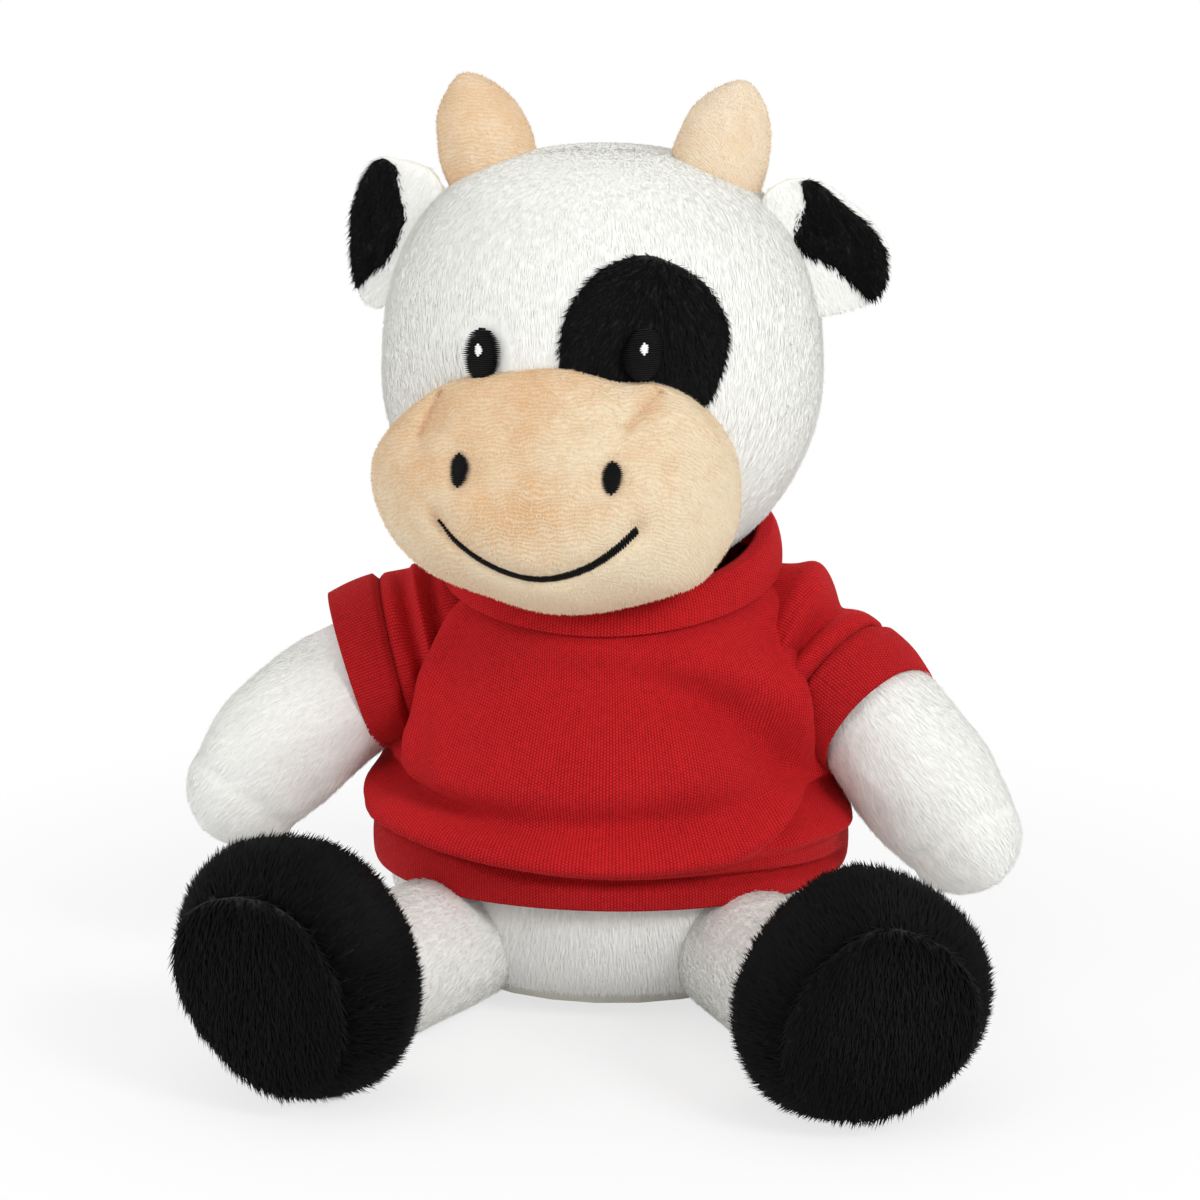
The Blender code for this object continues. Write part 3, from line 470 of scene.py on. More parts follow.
def geometry_tree(name, labels):
    """Tree that takes a mesh and a value for each label, and gives back a mesh."""
    tree = bpy.data.node_groups.new(name, "GeometryNodeTree")
    tree.interface.new_socket("Geometry", in_out="INPUT", socket_type="NodeSocketGeometry")
    for label in labels:
        kind = "NodeSocketInt" if label == "Seed" else "NodeSocketFloat"
        tree.interface.new_socket(label, in_out="INPUT", socket_type=kind)
    tree.interface.new_socket("Geometry", in_out="OUTPUT", socket_type="NodeSocketGeometry")
    return tree, add(tree, "NodeGroupInput").outputs


def stored(tree, name, kind="FLOAT_VECTOR"):
    """What each point of the mesh stores under a name."""
    return add(tree, "GeometryNodeInputNamedAttribute", {"data_type": kind}, {"Name": name}).outputs[0]


def aim(tree, main, main_way, other, other_way):
    """Turns the main axis one way, and then another axis as near as it can to a second way."""
    first = add(tree, "FunctionNodeAlignRotationToVector", {"axis": main}, {"Vector": main_way})
    return add(tree, "FunctionNodeAlignRotationToVector", {"axis": other, "pivot_axis": main},
               {"Rotation": first.outputs[0], "Vector": other_way}).outputs[0]


def put_on_points(tree, points, shape, turn, size, material):
    """Puts a shape on each point, makes it real and gives it a material."""
    many = add(tree, "GeometryNodeInstanceOnPoints", None,
               {"Points": points, "Instance": shape, "Rotation": turn, "Scale": size})
    solid = add(tree, "GeometryNodeRealizeInstances", None, {"Geometry": many.outputs[0]})
    return add(tree, "GeometryNodeSetMaterial", None,
               {"Geometry": solid.outputs[0], "Material": material}).outputs[0]


def grown(name, mesh, tree, values):
    """Piece that a tree grows from a mesh, with a value for each of its labels."""
    piece = put_in_scene(name, mesh)
    work = piece.modifiers.new("grow", "NODES")
    work.node_group = tree
    sockets = {item.name: item.identifier for item in tree.interface.items_tree
               if item.item_type == "SOCKET" and item.in_out == "INPUT"}
    for label, value in values.items():
        work[sockets[label]] = value
    return settle(piece)


print("helpers for node trees are ready")

# %% [markdown]
# ## Pile: thousands of small tufts
# A tuft is a flat three-sided blade that ends in a point: the cheapest closed shape there is, so
# one head can carry tens of thousands of them. Its flat side looks out, so a brushed coat looks
# soft. The tree scatters tufts over a skin, leans each one the way that the fabric is brushed,
# and varies their length. Each skin stores two values for its pile: comb, the way the fibres
# lie, and pile, how long they are there (0 where there are none).

# %% Pile tree
PILE_LABELS = ("Per square mm", "Length", "Width", "Stand", "Scatter", "Seed")


def pile_tree(fibres):
    """Node tree that grows fibres on a skin; one layer of tufts for each shade."""
    tree, given = geometry_tree("pile_" + fibres[0].name, PILE_LABELS)
    long_here, comb = stored(tree, "pile", "FLOAT"), stored(tree, "comb")
    plus, times, _ = sums(tree)

    def longer(vector, scale):
        return add(tree, "ShaderNodeVectorMath", {"operation": "SCALE"},
                   {0: vector, "Scale": scale}).outputs[0]

    def together(first, second):
        return add(tree, "ShaderNodeVectorMath", {"operation": "ADD"}, {0: first, 1: second}).outputs[0]

    density = times(times(given["Per square mm"], 1e6 / len(fibres)),
                    math_node(tree, "GREATER_THAN", long_here, 0.02))
    blade = add(tree, "GeometryNodeMeshCone", {"fill_type": "NGON"},
                {"Vertices": 3, "Side Segments": 1, "Fill Segments": 1, "Radius Top": 0.0,
                 "Radius Bottom": 0.5, "Depth": 1.0}).outputs["Mesh"]
    layers = add(tree, "GeometryNodeJoinGeometry")
    for number, fibre in enumerate(fibres):
        seed = plus(given["Seed"], 17.0 * number)
        spots = add(tree, "GeometryNodeDistributePointsOnFaces", {"distribute_method": "RANDOM"},
                    {"Mesh": given["Geometry"], "Density": density, "Seed": seed}).outputs
        stray = add(tree, "FunctionNodeRandomValue", {"data_type": "FLOAT_VECTOR"},
                    {0: (-1.0, -1.0, -1.0), 1: (1.0, 1.0, 1.0), "Seed": seed}).outputs[0]
        lean = together(together(longer(spots["Normal"], given["Stand"]), comb),
                        longer(stray, given["Scatter"]))
        turn = aim(tree, "Z", lean, "X", longer(spots["Normal"], -1.0))
        vary = add(tree, "FunctionNodeRandomValue", {"data_type": "FLOAT"},
                   {2: 0.7, 3: 1.25, "Seed": plus(seed, 5.0)}).outputs[1]
        long_one = times(times(times(given["Length"], MM), vary), long_here)
        wide_one = times(given["Width"], MM)
        size = add(tree, "ShaderNodeCombineXYZ", None,
                   {0: times(wide_one, 0.5), 1: wide_one, 2: long_one}).outputs[0]
        tufts = put_on_points(tree, spots["Points"], blade, turn, size, fibre)
        tree.links.new(tufts, layers.inputs[0])
    flat = add(tree, "GeometryNodeSetShadeSmooth", None,
               {"Geometry": layers.outputs[0], "Shade Smooth": False})
    add(tree, "NodeGroupOutput", None, {0: flat.outputs[0]})
    return tree


def at_point(rule, place, normal):
    """What a rule says at a point of a skin; a plain value holds everywhere."""
    return rule(place, normal) if callable(rule) else rule


def comb_skin(piece, comb_rule, long_rule):
    """Stores which way the pile lies and how long it is at each point of a skin, in millimetres."""
    mesh = piece.data
    ways, lengths = [], []
    for vert in mesh.vertices:
        place, normal = vert.co / MM, vert.normal
        way = Vector(at_point(comb_rule, place, normal))
        way = way - normal * way.dot(normal)
        ways.extend(way.normalized() if way.length > 1e-6 else (0.0, 0.0, 0.0))
        lengths.append(at_point(long_rule, place, normal))
    mesh.attributes.new("comb", "FLOAT_VECTOR", "POINT").data.foreach_set("vector", ways)
    mesh.attributes.new("pile", "FLOAT", "POINT").data.foreach_set("value", lengths)


pile_trees = {"white": pile_tree(white_fibres), "black": pile_tree(black_fibres),
              "peach": pile_tree(peach_fibres)}
print("pile trees:", ", ".join(pile_trees))

# %% [markdown]
# ## Head
# The head is a tightly stuffed ball, sewn on turned slightly to the toy's right. Its skin is made
# from rings of points round the upright, because the shape follows a rule: the lower half is a
# ball, the upper half is fuller than a ball, and hand stuffing leaves a slow unevenness.

# %% Head
HEAD_CENTRE = Vector((-1.6, 0.0, 125.0))
HEAD_WIDE, HEAD_HIGH = 43.2, 43.3
HEAD_TURN = math.radians(-5)
HEAD_RINGS, HEAD_STEPS = 48, 96


def on_head(x, y, z):
    """From the head's own left, back and up, to the toy's place."""
    return Matrix.Rotation(HEAD_TURN, 3, "Z") @ Vector((x, y, z)) + HEAD_CENTRE


def head_local(place):
    """From the toy's place to the head's own left, back and up."""
    return Matrix.Rotation(-HEAD_TURN, 3, "Z") @ (place - HEAD_CENTRE)


def head_radius(z):
    """Radius at a height from the head's middle; the upper half is fuller than a ball."""
    power = 2.5 if z > 0 else 2.0
    return HEAD_WIDE * max(1 - abs(z / HEAD_HIGH) ** power, 0.0) ** (1 / power)


def head_depth(x, z, lift):
    """Front of the head at a point seen from the front, raised by a lift."""
    return -math.sqrt(max(head_radius(z) ** 2 - x * x, 0.0)) - lift


head_rows = [[on_head(0, 0, HEAD_HIGH)]]
for ring in range(1, HEAD_RINGS):
    down = PI * ring / HEAD_RINGS
    height = HEAD_HIGH * math.cos(down)
    row = []
    for around in turns(HEAD_STEPS):
        uneven = 1 + 0.006 * lump(3 * around, 2 * down, 1.0) * math.sin(down)
        radius = head_radius(height) * uneven
        row.append(on_head(radius * math.cos(around), radius * math.sin(around), height))
    head_rows.append(row)
head_rows.append([on_head(0, 0, -HEAD_HIGH)])
head = skin("head_plush", head_rows, white_back)
count_faces(head)

# %% [markdown]
# ## Muzzle
# The muzzle is a separate padded pillow of velvet, sewn to the head off its middle. Its outline is
# a rounded box that leans a little, so it is kept as its reach in 36 directions. It domes to the
# front, its top is pressed flatter, and a dart at each upper corner pulls in a short valley.
# The embroidered smile is pulled tight, which draws a shallow channel along it and dimples
# its two ends, and each nostril lies in a shallow dimple too.

# %% Muzzle
MUZZLE_CENTRE = (-2.5, -30.7, -18.2)
MUZZLE_DEEP, MUZZLE_HIGH, MUZZLE_BROW = 24.0, 24.0, 11.0
MUZZLE_REACH = (
    34.9, 35.3, 35.4, 34.8, 33.8, 31.8, 28.5, 27.6, 27.4, 26.8, 26.6, 27.0, 28.1, 29.6, 31.0, 32.6, 34.6,
    36.4, 36.4, 34.8, 32.9, 30.4, 27.5, 25.2, 23.8, 23.2, 23.0, 23.1, 23.4, 24.0, 25.0, 26.6, 29.0, 32.2,
    33.6, 34.8)
MUZZLE_DOME = 0.88
MUZZLE_RINGS, MUZZLE_STEPS = 120, 208
NOSE_X = -3.0
NOSTRIL_ASIDE, NOSTRIL_HEIGHT = 14.6, -9.9
SMILE_HALF, SMILE_LOW, SMILE_SAG = 19.0, -30.2, 10.0
DARTS = (((-23.4, 2.8), (-26.8, -5.0)), ((18.8, 4.4), (14.0, -1.2)))


def smile_height(x):
    return SMILE_LOW + SMILE_SAG * ((x - NOSE_X) / SMILE_HALF) ** 2


def nostril_off(x, z, side, stretch):
    """Distance from a nostril, where sideways ones count less by a stretch."""
    return math.hypot((x - NOSE_X - side * NOSTRIL_ASIDE) / stretch, z - NOSTRIL_HEIGHT)


def near_line(x, z, start, end):
    """Distance from a point to a straight stitch line."""
    along = Vector((end[0] - start[0], end[1] - start[1]))
    share = min(max(((x - start[0]) * along.x + (z - start[1]) * along.y) / along.length_squared, 0), 1)
    return math.hypot(x - start[0] - share * along.x, z - start[1] - share * along.y)


def muzzle_pull(x, z):
    """How far stitches draw the velvet in, at a point seen from the front."""
    pull = 0.0
    for dart in DARTS:
        off = near_line(x, z, *dart)
        pull += 1.3 * bell(off, 0.85) + 1.9 * bell(off, 3.4)
    aside = abs(x - NOSE_X)
    if aside < SMILE_HALF + 4:
        pull += 1.3 * bell(z - smile_height(x), 2.2) * (1 - smooth(SMILE_HALF - 1, SMILE_HALF + 3, aside))
    for side in (-1, 1):
        corner = math.hypot(x - NOSE_X - side * SMILE_HALF, z - smile_height(NOSE_X + SMILE_HALF))
        pull += 1.5 * bell(corner, 3.0)
        pull += 1.3 * bell(nostril_off(x, z, side, 1.3), 3.2)
    return pull


def muzzle_point(turn, dome):
    """Point of the muzzle; turn goes round its front, dome from its nose to its back."""
    reach = wheel(MUZZLE_REACH, turn) * math.sin(dome) ** MUZZLE_DOME
    x = MUZZLE_CENTRE[0] + reach * math.cos(turn)
    z = MUZZLE_CENTRE[2] + reach * math.sin(turn)
    facing = math.cos(dome)
    brow = max((z - MUZZLE_CENTRE[2]) / MUZZLE_HIGH, 0.0)
    y = MUZZLE_CENTRE[1] - MUZZLE_DEEP * facing
    if facing > 0:
        y += 2.2 * brow * facing + muzzle_pull(x, z) * smooth(0.0, 0.3, facing)
        y += 0.35 * lump(x / 11, z / 9, 4.0)
    return x, y - MUZZLE_BROW * brow ** 1.3 * (1 - abs(facing)), z


muzzle_rows = [[on_head(*muzzle_point(0.0, 0.0))]]
for ring in range(1, MUZZLE_RINGS):
    dome = PI * ring / MUZZLE_RINGS
    muzzle_rows.append([on_head(*muzzle_point(turn, dome)) for turn in turns(MUZZLE_STEPS)])
muzzle_rows.append([on_head(*muzzle_point(0.0, PI))])
muzzle = skin("muzzle_velvet", muzzle_rows, muzzle_velvet)
count_faces(muzzle)

# %% [markdown]
# ## What the velvet stores
# The material needs two things of each piece of velvet: a map in millimetres for its ribs, and how
# much the stitches squeeze it at each point, which deepens its colour to a pinker tone with painted shade.

# %% Map and painted crease shade of the velvet


def pinch_shade(piece, amount):
    """Stores how much the stitches squeeze the velvet at each point, shown as painted shade."""
    values = [amount(head_local(vert.co / MM)) for vert in piece.data.vertices]
    piece.data.attributes.new("pinch_shade", "FLOAT", "POINT").data.foreach_set("value", values)


def muzzle_pinch_shade(local):
    # Painted shade with a pinker tint in the darts, round the nostrils and along the smile.
    if local.y > MUZZLE_CENTRE[1] - 2:
        return 0.0
    squeeze = sum(bell(near_line(local.x, local.z, *dart), 0.8) for dart in DARTS)
    for side in (-1, 1):
        squeeze += 0.5 * bell(nostril_off(local.x, local.z, side, 0.7), 4.0)
    if abs(local.x - NOSE_X) < SMILE_HALF + 2:
        squeeze += 0.5 * bell(local.z - smile_height(local.x), 1.6)
    return min(squeeze, 1.0)


def front_map(piece):
    """Lays the cloth's map in millimetres: across on one side, up and over on the other."""
    mesh = piece.data
    layer = mesh.uv_layers.new(name="cloth_mm")
    for loop in mesh.loops:
        place = mesh.vertices[loop.vertex_index].co / MM
        layer.data[loop.index].uv = (place.x + place.y * 0.3, place.z + place.y * 0.45)


def muzzle_share(x, z):
    """How far out a point lies on the muzzle, seen from the front: 1 is its outline."""
    dx, dz = x - MUZZLE_CENTRE[0], z - MUZZLE_CENTRE[2]
    return math.hypot(dx, dz) / wheel(MUZZLE_REACH, math.atan2(dz, dx))


def muzzle_front(x, z, lift):
    """Front of the muzzle at a point seen from the front, raised by a lift."""
    dx, dz = x - MUZZLE_CENTRE[0], z - MUZZLE_CENTRE[2]
    dome = math.asin(min(muzzle_share(x, z), 0.999) ** (1 / MUZZLE_DOME))
    return muzzle_point(math.atan2(dz, dx), dome)[1] - lift


front_map(muzzle)
pinch_shade(muzzle, muzzle_pinch_shade)
nose = -muzzle_front(NOSE_X, MUZZLE_CENTRE[2], 0.0)
print("the nose stands", round(nose, 1), "mm before the head's middle")

# %% [markdown]
# ## Black patch round the left eye
# The patch is plush let into the head, with a dense seam round it. It is made as a thin pad that
# follows the head's surface, from an outline seen from the front. Its lower edge runs on behind
# the muzzle.

# %% Eye patch
PATCH_CENTRE = (15.0, 14.0)
PATCH_POINTS = (
    (-14.9, -3.4), (-14.5, 1.6), (-13.7, 5.3), (-11.6, 9.0), (-8.8, 12.1), (-5.0, 14.2), (-0.1, 15.0),
    (5.5, 12.9), (10.4, 9.4), (13.1, 5.4), (14.7, 1.9), (15.0, -1.7), (14.2, -6.9), (11.9, -12.6),
    (7.0, -15.5), (-1.0, -15.2), (-9.0, -13.0), (-14.0, -9.0))
patch_outline = [(PATCH_CENTRE[0] + x, PATCH_CENTRE[1] + z) for x, z in round_outline(PATCH_POINTS, 72)]
patch_rows = pad_rows(patch_outline, PATCH_CENTRE, lambda x, z, out: on_head(x, head_depth(x, z, out), z),
                      lambda share: 0.9 - 0.6 * share ** 12, lambda share: -0.4)
patch = skin("eye_patch_plush", patch_rows, black_back)
count_faces(patch)


def inside_patch(x, z, margin):
    """True where a point seen from the front lies in the patch, grown by a margin."""
    dx, dz = x - PATCH_CENTRE[0], z - PATCH_CENTRE[1]
    angle = math.atan2(dz, dx)
    nearest = min(PATCH_POINTS, key=lambda p: abs(math.remainder(math.atan2(p[1], p[0]) - angle, 2 * PI)))
    return math.hypot(dx, dz) < math.hypot(*nearest) + margin


# %% [markdown]
# ## Horns
# A horn is a small padded thumb of the same velvet. Its outer side rises nearly straight and its
# inner side slants, so the tip leans outwards. It is lofted along a bent middle line, with the
# radius given at a few heights.

# %% Horns
HORN_LINE = (
    # height, distance from the head's middle, radius
    (0.0, 21.8, 8.4), (4.0, 22.5, 9.0), (8.0, 23.2, 9.5), (11.5, 23.9, 9.6), (14.5, 24.4, 9.3),
    (17.0, 24.9, 8.7), (19.0, 25.2, 8.0), (20.8, 25.6, 7.1), (22.4, 26.0, 5.9), (23.8, 26.5, 4.6),
    (24.9, 27.0, 3.2), (25.7, 27.5, 1.8), (26.1, 27.8, 0.0))
HORN_BACK, HORN_BASE = 4.5, 30.8
HORN_INWARD = {1: 1.4, -1: 0.3}
HORN_RINGS, HORN_STEPS = 32, 48


def horn_rows(side):
    """Rings of a horn, from a point inside the head to its tip."""
    rows = [[on_head(side * HORN_LINE[0][1], HORN_BACK, HORN_BASE - 1)]]
    for ring in range(HORN_RINGS):
        height = HORN_LINE[-1][0] * (1 - (1 - ring / HORN_RINGS) ** 1.7)
        radius = max(flowing(HORN_LINE, height, 2), 0.0)
        x = side * flowing(HORN_LINE, height, 1) - HORN_INWARD[side]
        row = []
        for turn in turns(HORN_STEPS):
            uneven = 1 + 0.03 * lump(3 * math.cos(turn), height / 6, side)
            y = HORN_BACK + 0.92 * radius * math.sin(turn)
            row.append(on_head(x + radius * uneven * math.cos(turn), y, HORN_BASE + height))
        rows.append(row)
    top, out, _ = HORN_LINE[-1]
    return rows + [[on_head(side * out - HORN_INWARD[side], HORN_BACK, HORN_BASE + top)]]


horns = {}
for side, name in SIDES:
    horns[name] = skin("horn_" + name + "_velvet", horn_rows(side), horn_velvet)
    front_map(horns[name])
    # Painted shade with a pinker tint at the horn's root, where it meets the head.
    pinch_shade(horns[name], lambda local: 0.75 * (1 - smooth(34.0, 42.0, local.z)))
count_faces(*horns.values())

# %% [markdown]
# ## Ears
# An ear is a flat petal of white plush, swept back and cupped forwards, with a black plush lining
# let into its front. The lining leaves the top of the root and the lower edge white. Both are
# thin pads made from outlines seen from the front, and the two ears differ, as hand-sewn ones do.

# %% Ear shapes
EARS = {
    "left": ((39.0, 38.4), (42.3, 37.6), (45.4, 35.8), (48.5, 32.9), (51.6, 29.8), (54.0, 26.8), (55.2, 23.8),
             (55.6, 20.7), (55.2, 17.7), (53.6, 15.0), (51.4, 13.4), (47.8, 12.2), (42.2, 11.4), (38.2, 13.4),
             (35.8, 19.0), (32.5, 26.0), (30.8, 31.0), (32.2, 35.8), (35.4, 38.0)),
    "right": ((44.6, 40.1), (47.8, 38.6), (50.2, 35.4), (51.5, 31.9), (52.6, 27.4), (52.7, 22.6),
              (52.2, 18.0), (51.4, 13.6), (49.8, 10.6), (47.1, 9.5), (44.6, 10.2), (41.3, 13.8),
              (37.5, 20.0), (33.0, 26.0), (31.0, 31.5), (32.4, 35.6), (34.8, 38.2), (38.9, 39.3),
              (42.1, 39.7))}
LININGS = {
    "left": ((39.4, 38.3), (41.8, 37.8), (45.0, 35.2), (48.0, 32.0), (50.2, 30.0), (53.2, 26.7), (54.8, 23.4),
             (55.1, 19.9), (54.5, 16.6), (52.4, 14.5), (49.2, 16.8), (45.1, 20.2), (40.2, 23.2), (38.2, 25.2),
             (37.2, 27.6), (38.3, 31.0), (39.5, 33.7), (39.2, 36.3)),
    "right": ((44.4, 39.9), (42.9, 39.2), (41.7, 38.0), (41.2, 35.3), (40.4, 32.0), (39.6, 27.6),
              (41.2, 24.3), (42.7, 21.0), (44.5, 18.0), (47.4, 15.9), (50.0, 14.0), (51.0, 13.0),
              (51.8, 16.2), (52.4, 21.9), (52.4, 27.3), (51.1, 31.4), (49.9, 34.3), (47.9, 37.4),
              (46.4, 38.9))}
EAR_FOLDS = {
    # start and end of each crease seen from the front, depth, width
    "left": (((38.5, 29.5), (50.5, 30.4), 1.5, 1.5), ((40.5, 26.0), (53.0, 22.5), -0.8, 2.4),
             ((44.0, 22.5), (52.0, 17.5), 0.8, 1.3)),
    "right": (((46.5, 37.5), (47.0, 17.0), 0.9, 1.3), ((43.0, 30.0), (43.5, 24.0), -0.6, 2.0))}


def ear_fold(name, x, z):
    return sum(deep * math.exp(-(near_line(x, z, start, end) / wide) ** 2)
               for start, end, deep, wide in EAR_FOLDS[name])


def ear_place(name, x, z, out):
    """Point of an ear: x outwards, z up, out towards the front."""
    side = 1 if name == "left" else -1
    back = 2.0 + 0.45 * (x - 37.0)
    cup = 0.012 * (z - 25.0) ** 2 * smooth(36, 46, x) + 1.6 * smooth(48, 57, x)
    return on_head(side * x, back - cup - out, z)


def ear_pad(name, kind, outline, front, back, material):
    """Petal or lining of an ear, as a thin pad that follows the ear's creases."""
    middle = [sum(point[axis] for point in outline) / len(outline) for axis in (0, 1)]

    def place(x, z, out):
        return ear_place(name, x, z, out - 0.5 * ear_fold(name, x, z))

    return skin("ear_" + name + "_" + kind, pad_rows(outline, middle, place, front, back), material)


ears, linings = {}, {}
lining_outlines = {name: round_outline(points) for name, points in LININGS.items()}
for name, points in EARS.items():
    ears[name] = ear_pad(name, "petal", round_outline(points),
                         lambda share: 2.0 * math.sqrt(max(1 - share ** 5, 0.0)) + 0.1,
                         lambda share: -2.2 * math.sqrt(max(1 - share ** 4, 0.0)) - 0.1, white_back)
    linings[name] = ear_pad(name, "lining", lining_outlines[name], lambda share: 2.6 - 0.9 * share ** 6,
                            lambda share: 1.2 - 1.0 * share ** 6, black_back)
count_faces(*ears.values(), *linings.values())

# %% [markdown]
# ## Torso, neck and limbs
# The body is a pear that sits on a bag of pellets, so it spreads at the bottom. Arms are bent
# sausages that hang forwards from the sleeves, and legs are short stubs that end in big round
# feet. All are lofted: rings along a middle line, with a radius at each.

# %% Lofts
CAP_ROWS = 8


def tube_rows(line, count, rings, uneven=0.0, seed=0.0, cap_end=True, cap_start=False):
    """Rings along a line of (x, y, z, radius), with round ends; they stay square to the line."""
    table = [(number, *point) for number, point in enumerate(line)]
    places = [(len(line) - 1) * step / rings for step in range(rings + 1)]
    middles = [Vector([flowing(table, place, column) for column in (1, 2, 3)]) for place in places]
    rows = []
    for number, (place, middle) in enumerate(zip(places, middles)):
        ahead = (middles[min(number + 1, rings)] - middles[max(number - 1, 0)]).normalized()
        beside = ahead.cross(Vector((0, 0, 1))).normalized()
        above = beside.cross(ahead)
        radius = flowing(table, place, 4)
        row = []
        for angle in turns(count):
            reach = radius + uneven * lump(2 * angle, 0.9 * place, seed)
            row.append(middle + beside * reach * math.cos(angle) + above * reach * math.sin(angle))
        rows.append(row)
        if (number == 0 and cap_start) or (number == rings and cap_end):
            way = ahead if number else -ahead
            caps = []
            for lean in [PI / 2 * step / CAP_ROWS for step in range(1, CAP_ROWS)]:
                caps.append([middle + way * radius * math.sin(lean) + (point - middle) * math.cos(lean)
                             for point in row])
            caps.append([middle + way * radius])
            rows = rows + caps if number else caps[::-1] + rows
    if not cap_start:
        rows.insert(0, [middles[0]])
    if not cap_end:
        rows.append([middles[-1]])
    return rows


print("a tube of 4 rings has", len(tube_rows([(0, 0, 0, 1), (1, 0, 0, 1)], 8, 4)), "rows with its ends")

# %% [markdown]
# ## Torso and neck
# The torso is a table of widths and depths at each height. Under the shirt it is drawn in by a few
# parts in a hundred, so that it never shows through the shirt's deepest fold.

# %% Torso and neck
TORSO = (
    # height, half width, half depth
    (0.0, 22.0, 17.5), (1.2, 28.5, 22.5), (3.6, 34.0, 28.5), (8.2, 39.5, 35.0), (18.0, 43.4, 39.4),
    (27.9, 44.0, 40.2), (37.7, 42.3, 38.6), (47.6, 40.2, 36.6), (57.4, 38.4, 34.4), (65.6, 36.6, 32.4),
    (73.0, 33.5, 29.2), (77.9, 28.6, 26.0), (81.4, 20.0, 20.0))
TORSO_RINGS, TORSO_STEPS = 48, 112
DRAWN_IN = 0.028
NECK = (
    # radius, height
    (14.6, 79.7), (15.3, 80.6), (15.4, 82.4), (15.2, 86.0), (14.0, 90.4), (11.0, 94.8), (7.0, 97.7),
    (3.0, 99.1))
NECK_X = -1.6


def torso_rows():
    rows = [[(0.0, 0.0, 0.0)],
            [(14.0 * math.cos(angle), 12.0 * math.sin(angle), 0.0) for angle in turns(TORSO_STEPS)]]
    for ring in range(TORSO_RINGS + 1):
        height = TORSO[-1][0] * (ring / TORSO_RINGS) ** 1.25
        inside = 1 - DRAWN_IN * smooth(30, 38, height) * (1 - smooth(66, 76, height))
        wide, deep = flowing(TORSO, height, 1) * inside, flowing(TORSO, height, 2) * inside
        row = []
        for angle in turns(TORSO_STEPS):
            uneven = 1 + 0.008 * lump(2.5 * angle, height / 14, 2.0) * smooth(2, 14, height)
            row.append((wide * uneven * math.cos(angle), deep * uneven * math.sin(angle), height))
        rows.append(row)
    return rows + [[(0.0, 0.0, 81.6)]]


torso = skin("torso_plush", torso_rows(), white_back)
neck_rows = [[(NECK_X + radius * math.cos(angle), radius * math.sin(angle), height) for angle in turns(48)]
             for radius, height in NECK]
neck = skin("neck_plush", [[(NECK_X, 0.0, 79.6)]] + neck_rows + [[(NECK_X, 0.0, 99.4)]], white_back)
count_faces(torso, neck)

# %% [markdown]
# ## Arms and legs
# An arm widens from the shoulder to a round end. The left one follows its sleeve closely, where
# the photograph shows the cuff bunched round it. A leg is a straight stub that runs into its foot.

# %% Arms and legs
ARM_LINES = {
    "left": ((36, -1, 67, 10.0), (44, -3, 63, 11.0), (50.5, -4.3, 58.5, 12.4), (54.5, -5.5, 55.0, 13.1),
             (60.4, -7.5, 47.8, 13.9), (65.6, -9.5, 41.4, 13.7), (69.4, -11, 36.8, 12.6),
             (71.2, -12, 34.4, 11.4)),
    "right": ((-36, -1, 67, 10.5), (-46, -4, 62.8, 12.3), (-55.6, -7, 56.6, 13.5), (-64.4, -9.5, 49.0, 13.8),
              (-69.6, -11.2, 43.2, 13.1), (-72.2, -12, 40.0, 12.0))}
HIP_ASIDE, HIP_FRONT = 27.5, -26.0
arms, legs = {}, {}
for name, line in ARM_LINES.items():
    rows = tube_rows(line, 56, 30, 0.35, len(line), cap_start=True)
    arms[name] = skin("arm_" + name + "_plush", rows, white_back)
for side, name in SIDES:
    line = [(side * (HIP_ASIDE + 25.6 * share), HIP_FRONT - 48.1 * share, 14.6 + 1.2 * share, radius)
            for share, radius in ((-0.12, 12.6), (0.1, 13.6), (0.35, 13.7), (0.6, 14.0), (0.85, 14.4))]
    rows = tube_rows(line, 48, 20, 0.25, side, cap_end=False, cap_start=True)
    legs[name] = skin("leg_" + name + "_plush", rows, white_back)
count_faces(*arms.values(), *legs.values())

# %% [markdown]
# ## Feet
# A foot is a big ball of longer black pile. Its sole is a separate oval panel, and the seam round
# it is drawn tight, so it lies in a groove. The heel is pressed flat where it touches the floor.

# %% Feet
FOOT_SIZE = (23.4, 24.8, 20.0)
FOOT_REACH = {
    # share of the full size round the foot, from its left side over the top, every 15 degrees
    "right": (1.004, 0.979, 0.945, 0.93, 0.941, 0.949, 0.952, 0.955, 0.975, 0.975, 0.935, 0.875, 0.81,
              0.755, 0.72, 0.70, 0.72, 0.80, 0.90, 0.99, 1.038, 1.07, 1.08, 1.05),
    "left": (1.045, 1.015, 0.962, 0.92, 0.88, 0.868, 0.85, 0.80, 0.765, 0.755, 0.775, 0.81, 0.88, 0.944,
             1.0, 1.02, 1.02, 1.01, 0.995, 0.975, 0.965, 0.98, 1.02, 1.041)}
FOOT_SHAPE = (
    # along from heel to sole, radius
    (-1.0, 0.0), (-0.97, 0.27), (-0.9, 0.47), (-0.78, 0.68), (-0.58, 0.86), (-0.32, 0.97), (-0.02, 1.01),
    (0.26, 1.0), (0.48, 0.965), (0.64, 0.91), (0.72, 0.87), (0.77, 0.835), (0.79, 0.785))
SOLE_SHAPE = (
    (0.78, 0.76), (0.80, 0.79), (0.83, 0.785), (0.87, 0.735), (0.91, 0.65), (0.95, 0.52), (0.98, 0.35),
    (0.992, 0.18), (0.995, 0.0))
FOOT_STEPS, FOOT_OUT = 64, math.radians(17)
LEG_LONG, LEG_OUT = 54.5, math.radians(28)


def foot_ahead(side):
    """The way a foot points: level, and a little outwards."""
    return Vector((side * math.sin(FOOT_OUT), -math.cos(FOOT_OUT), 0.0))


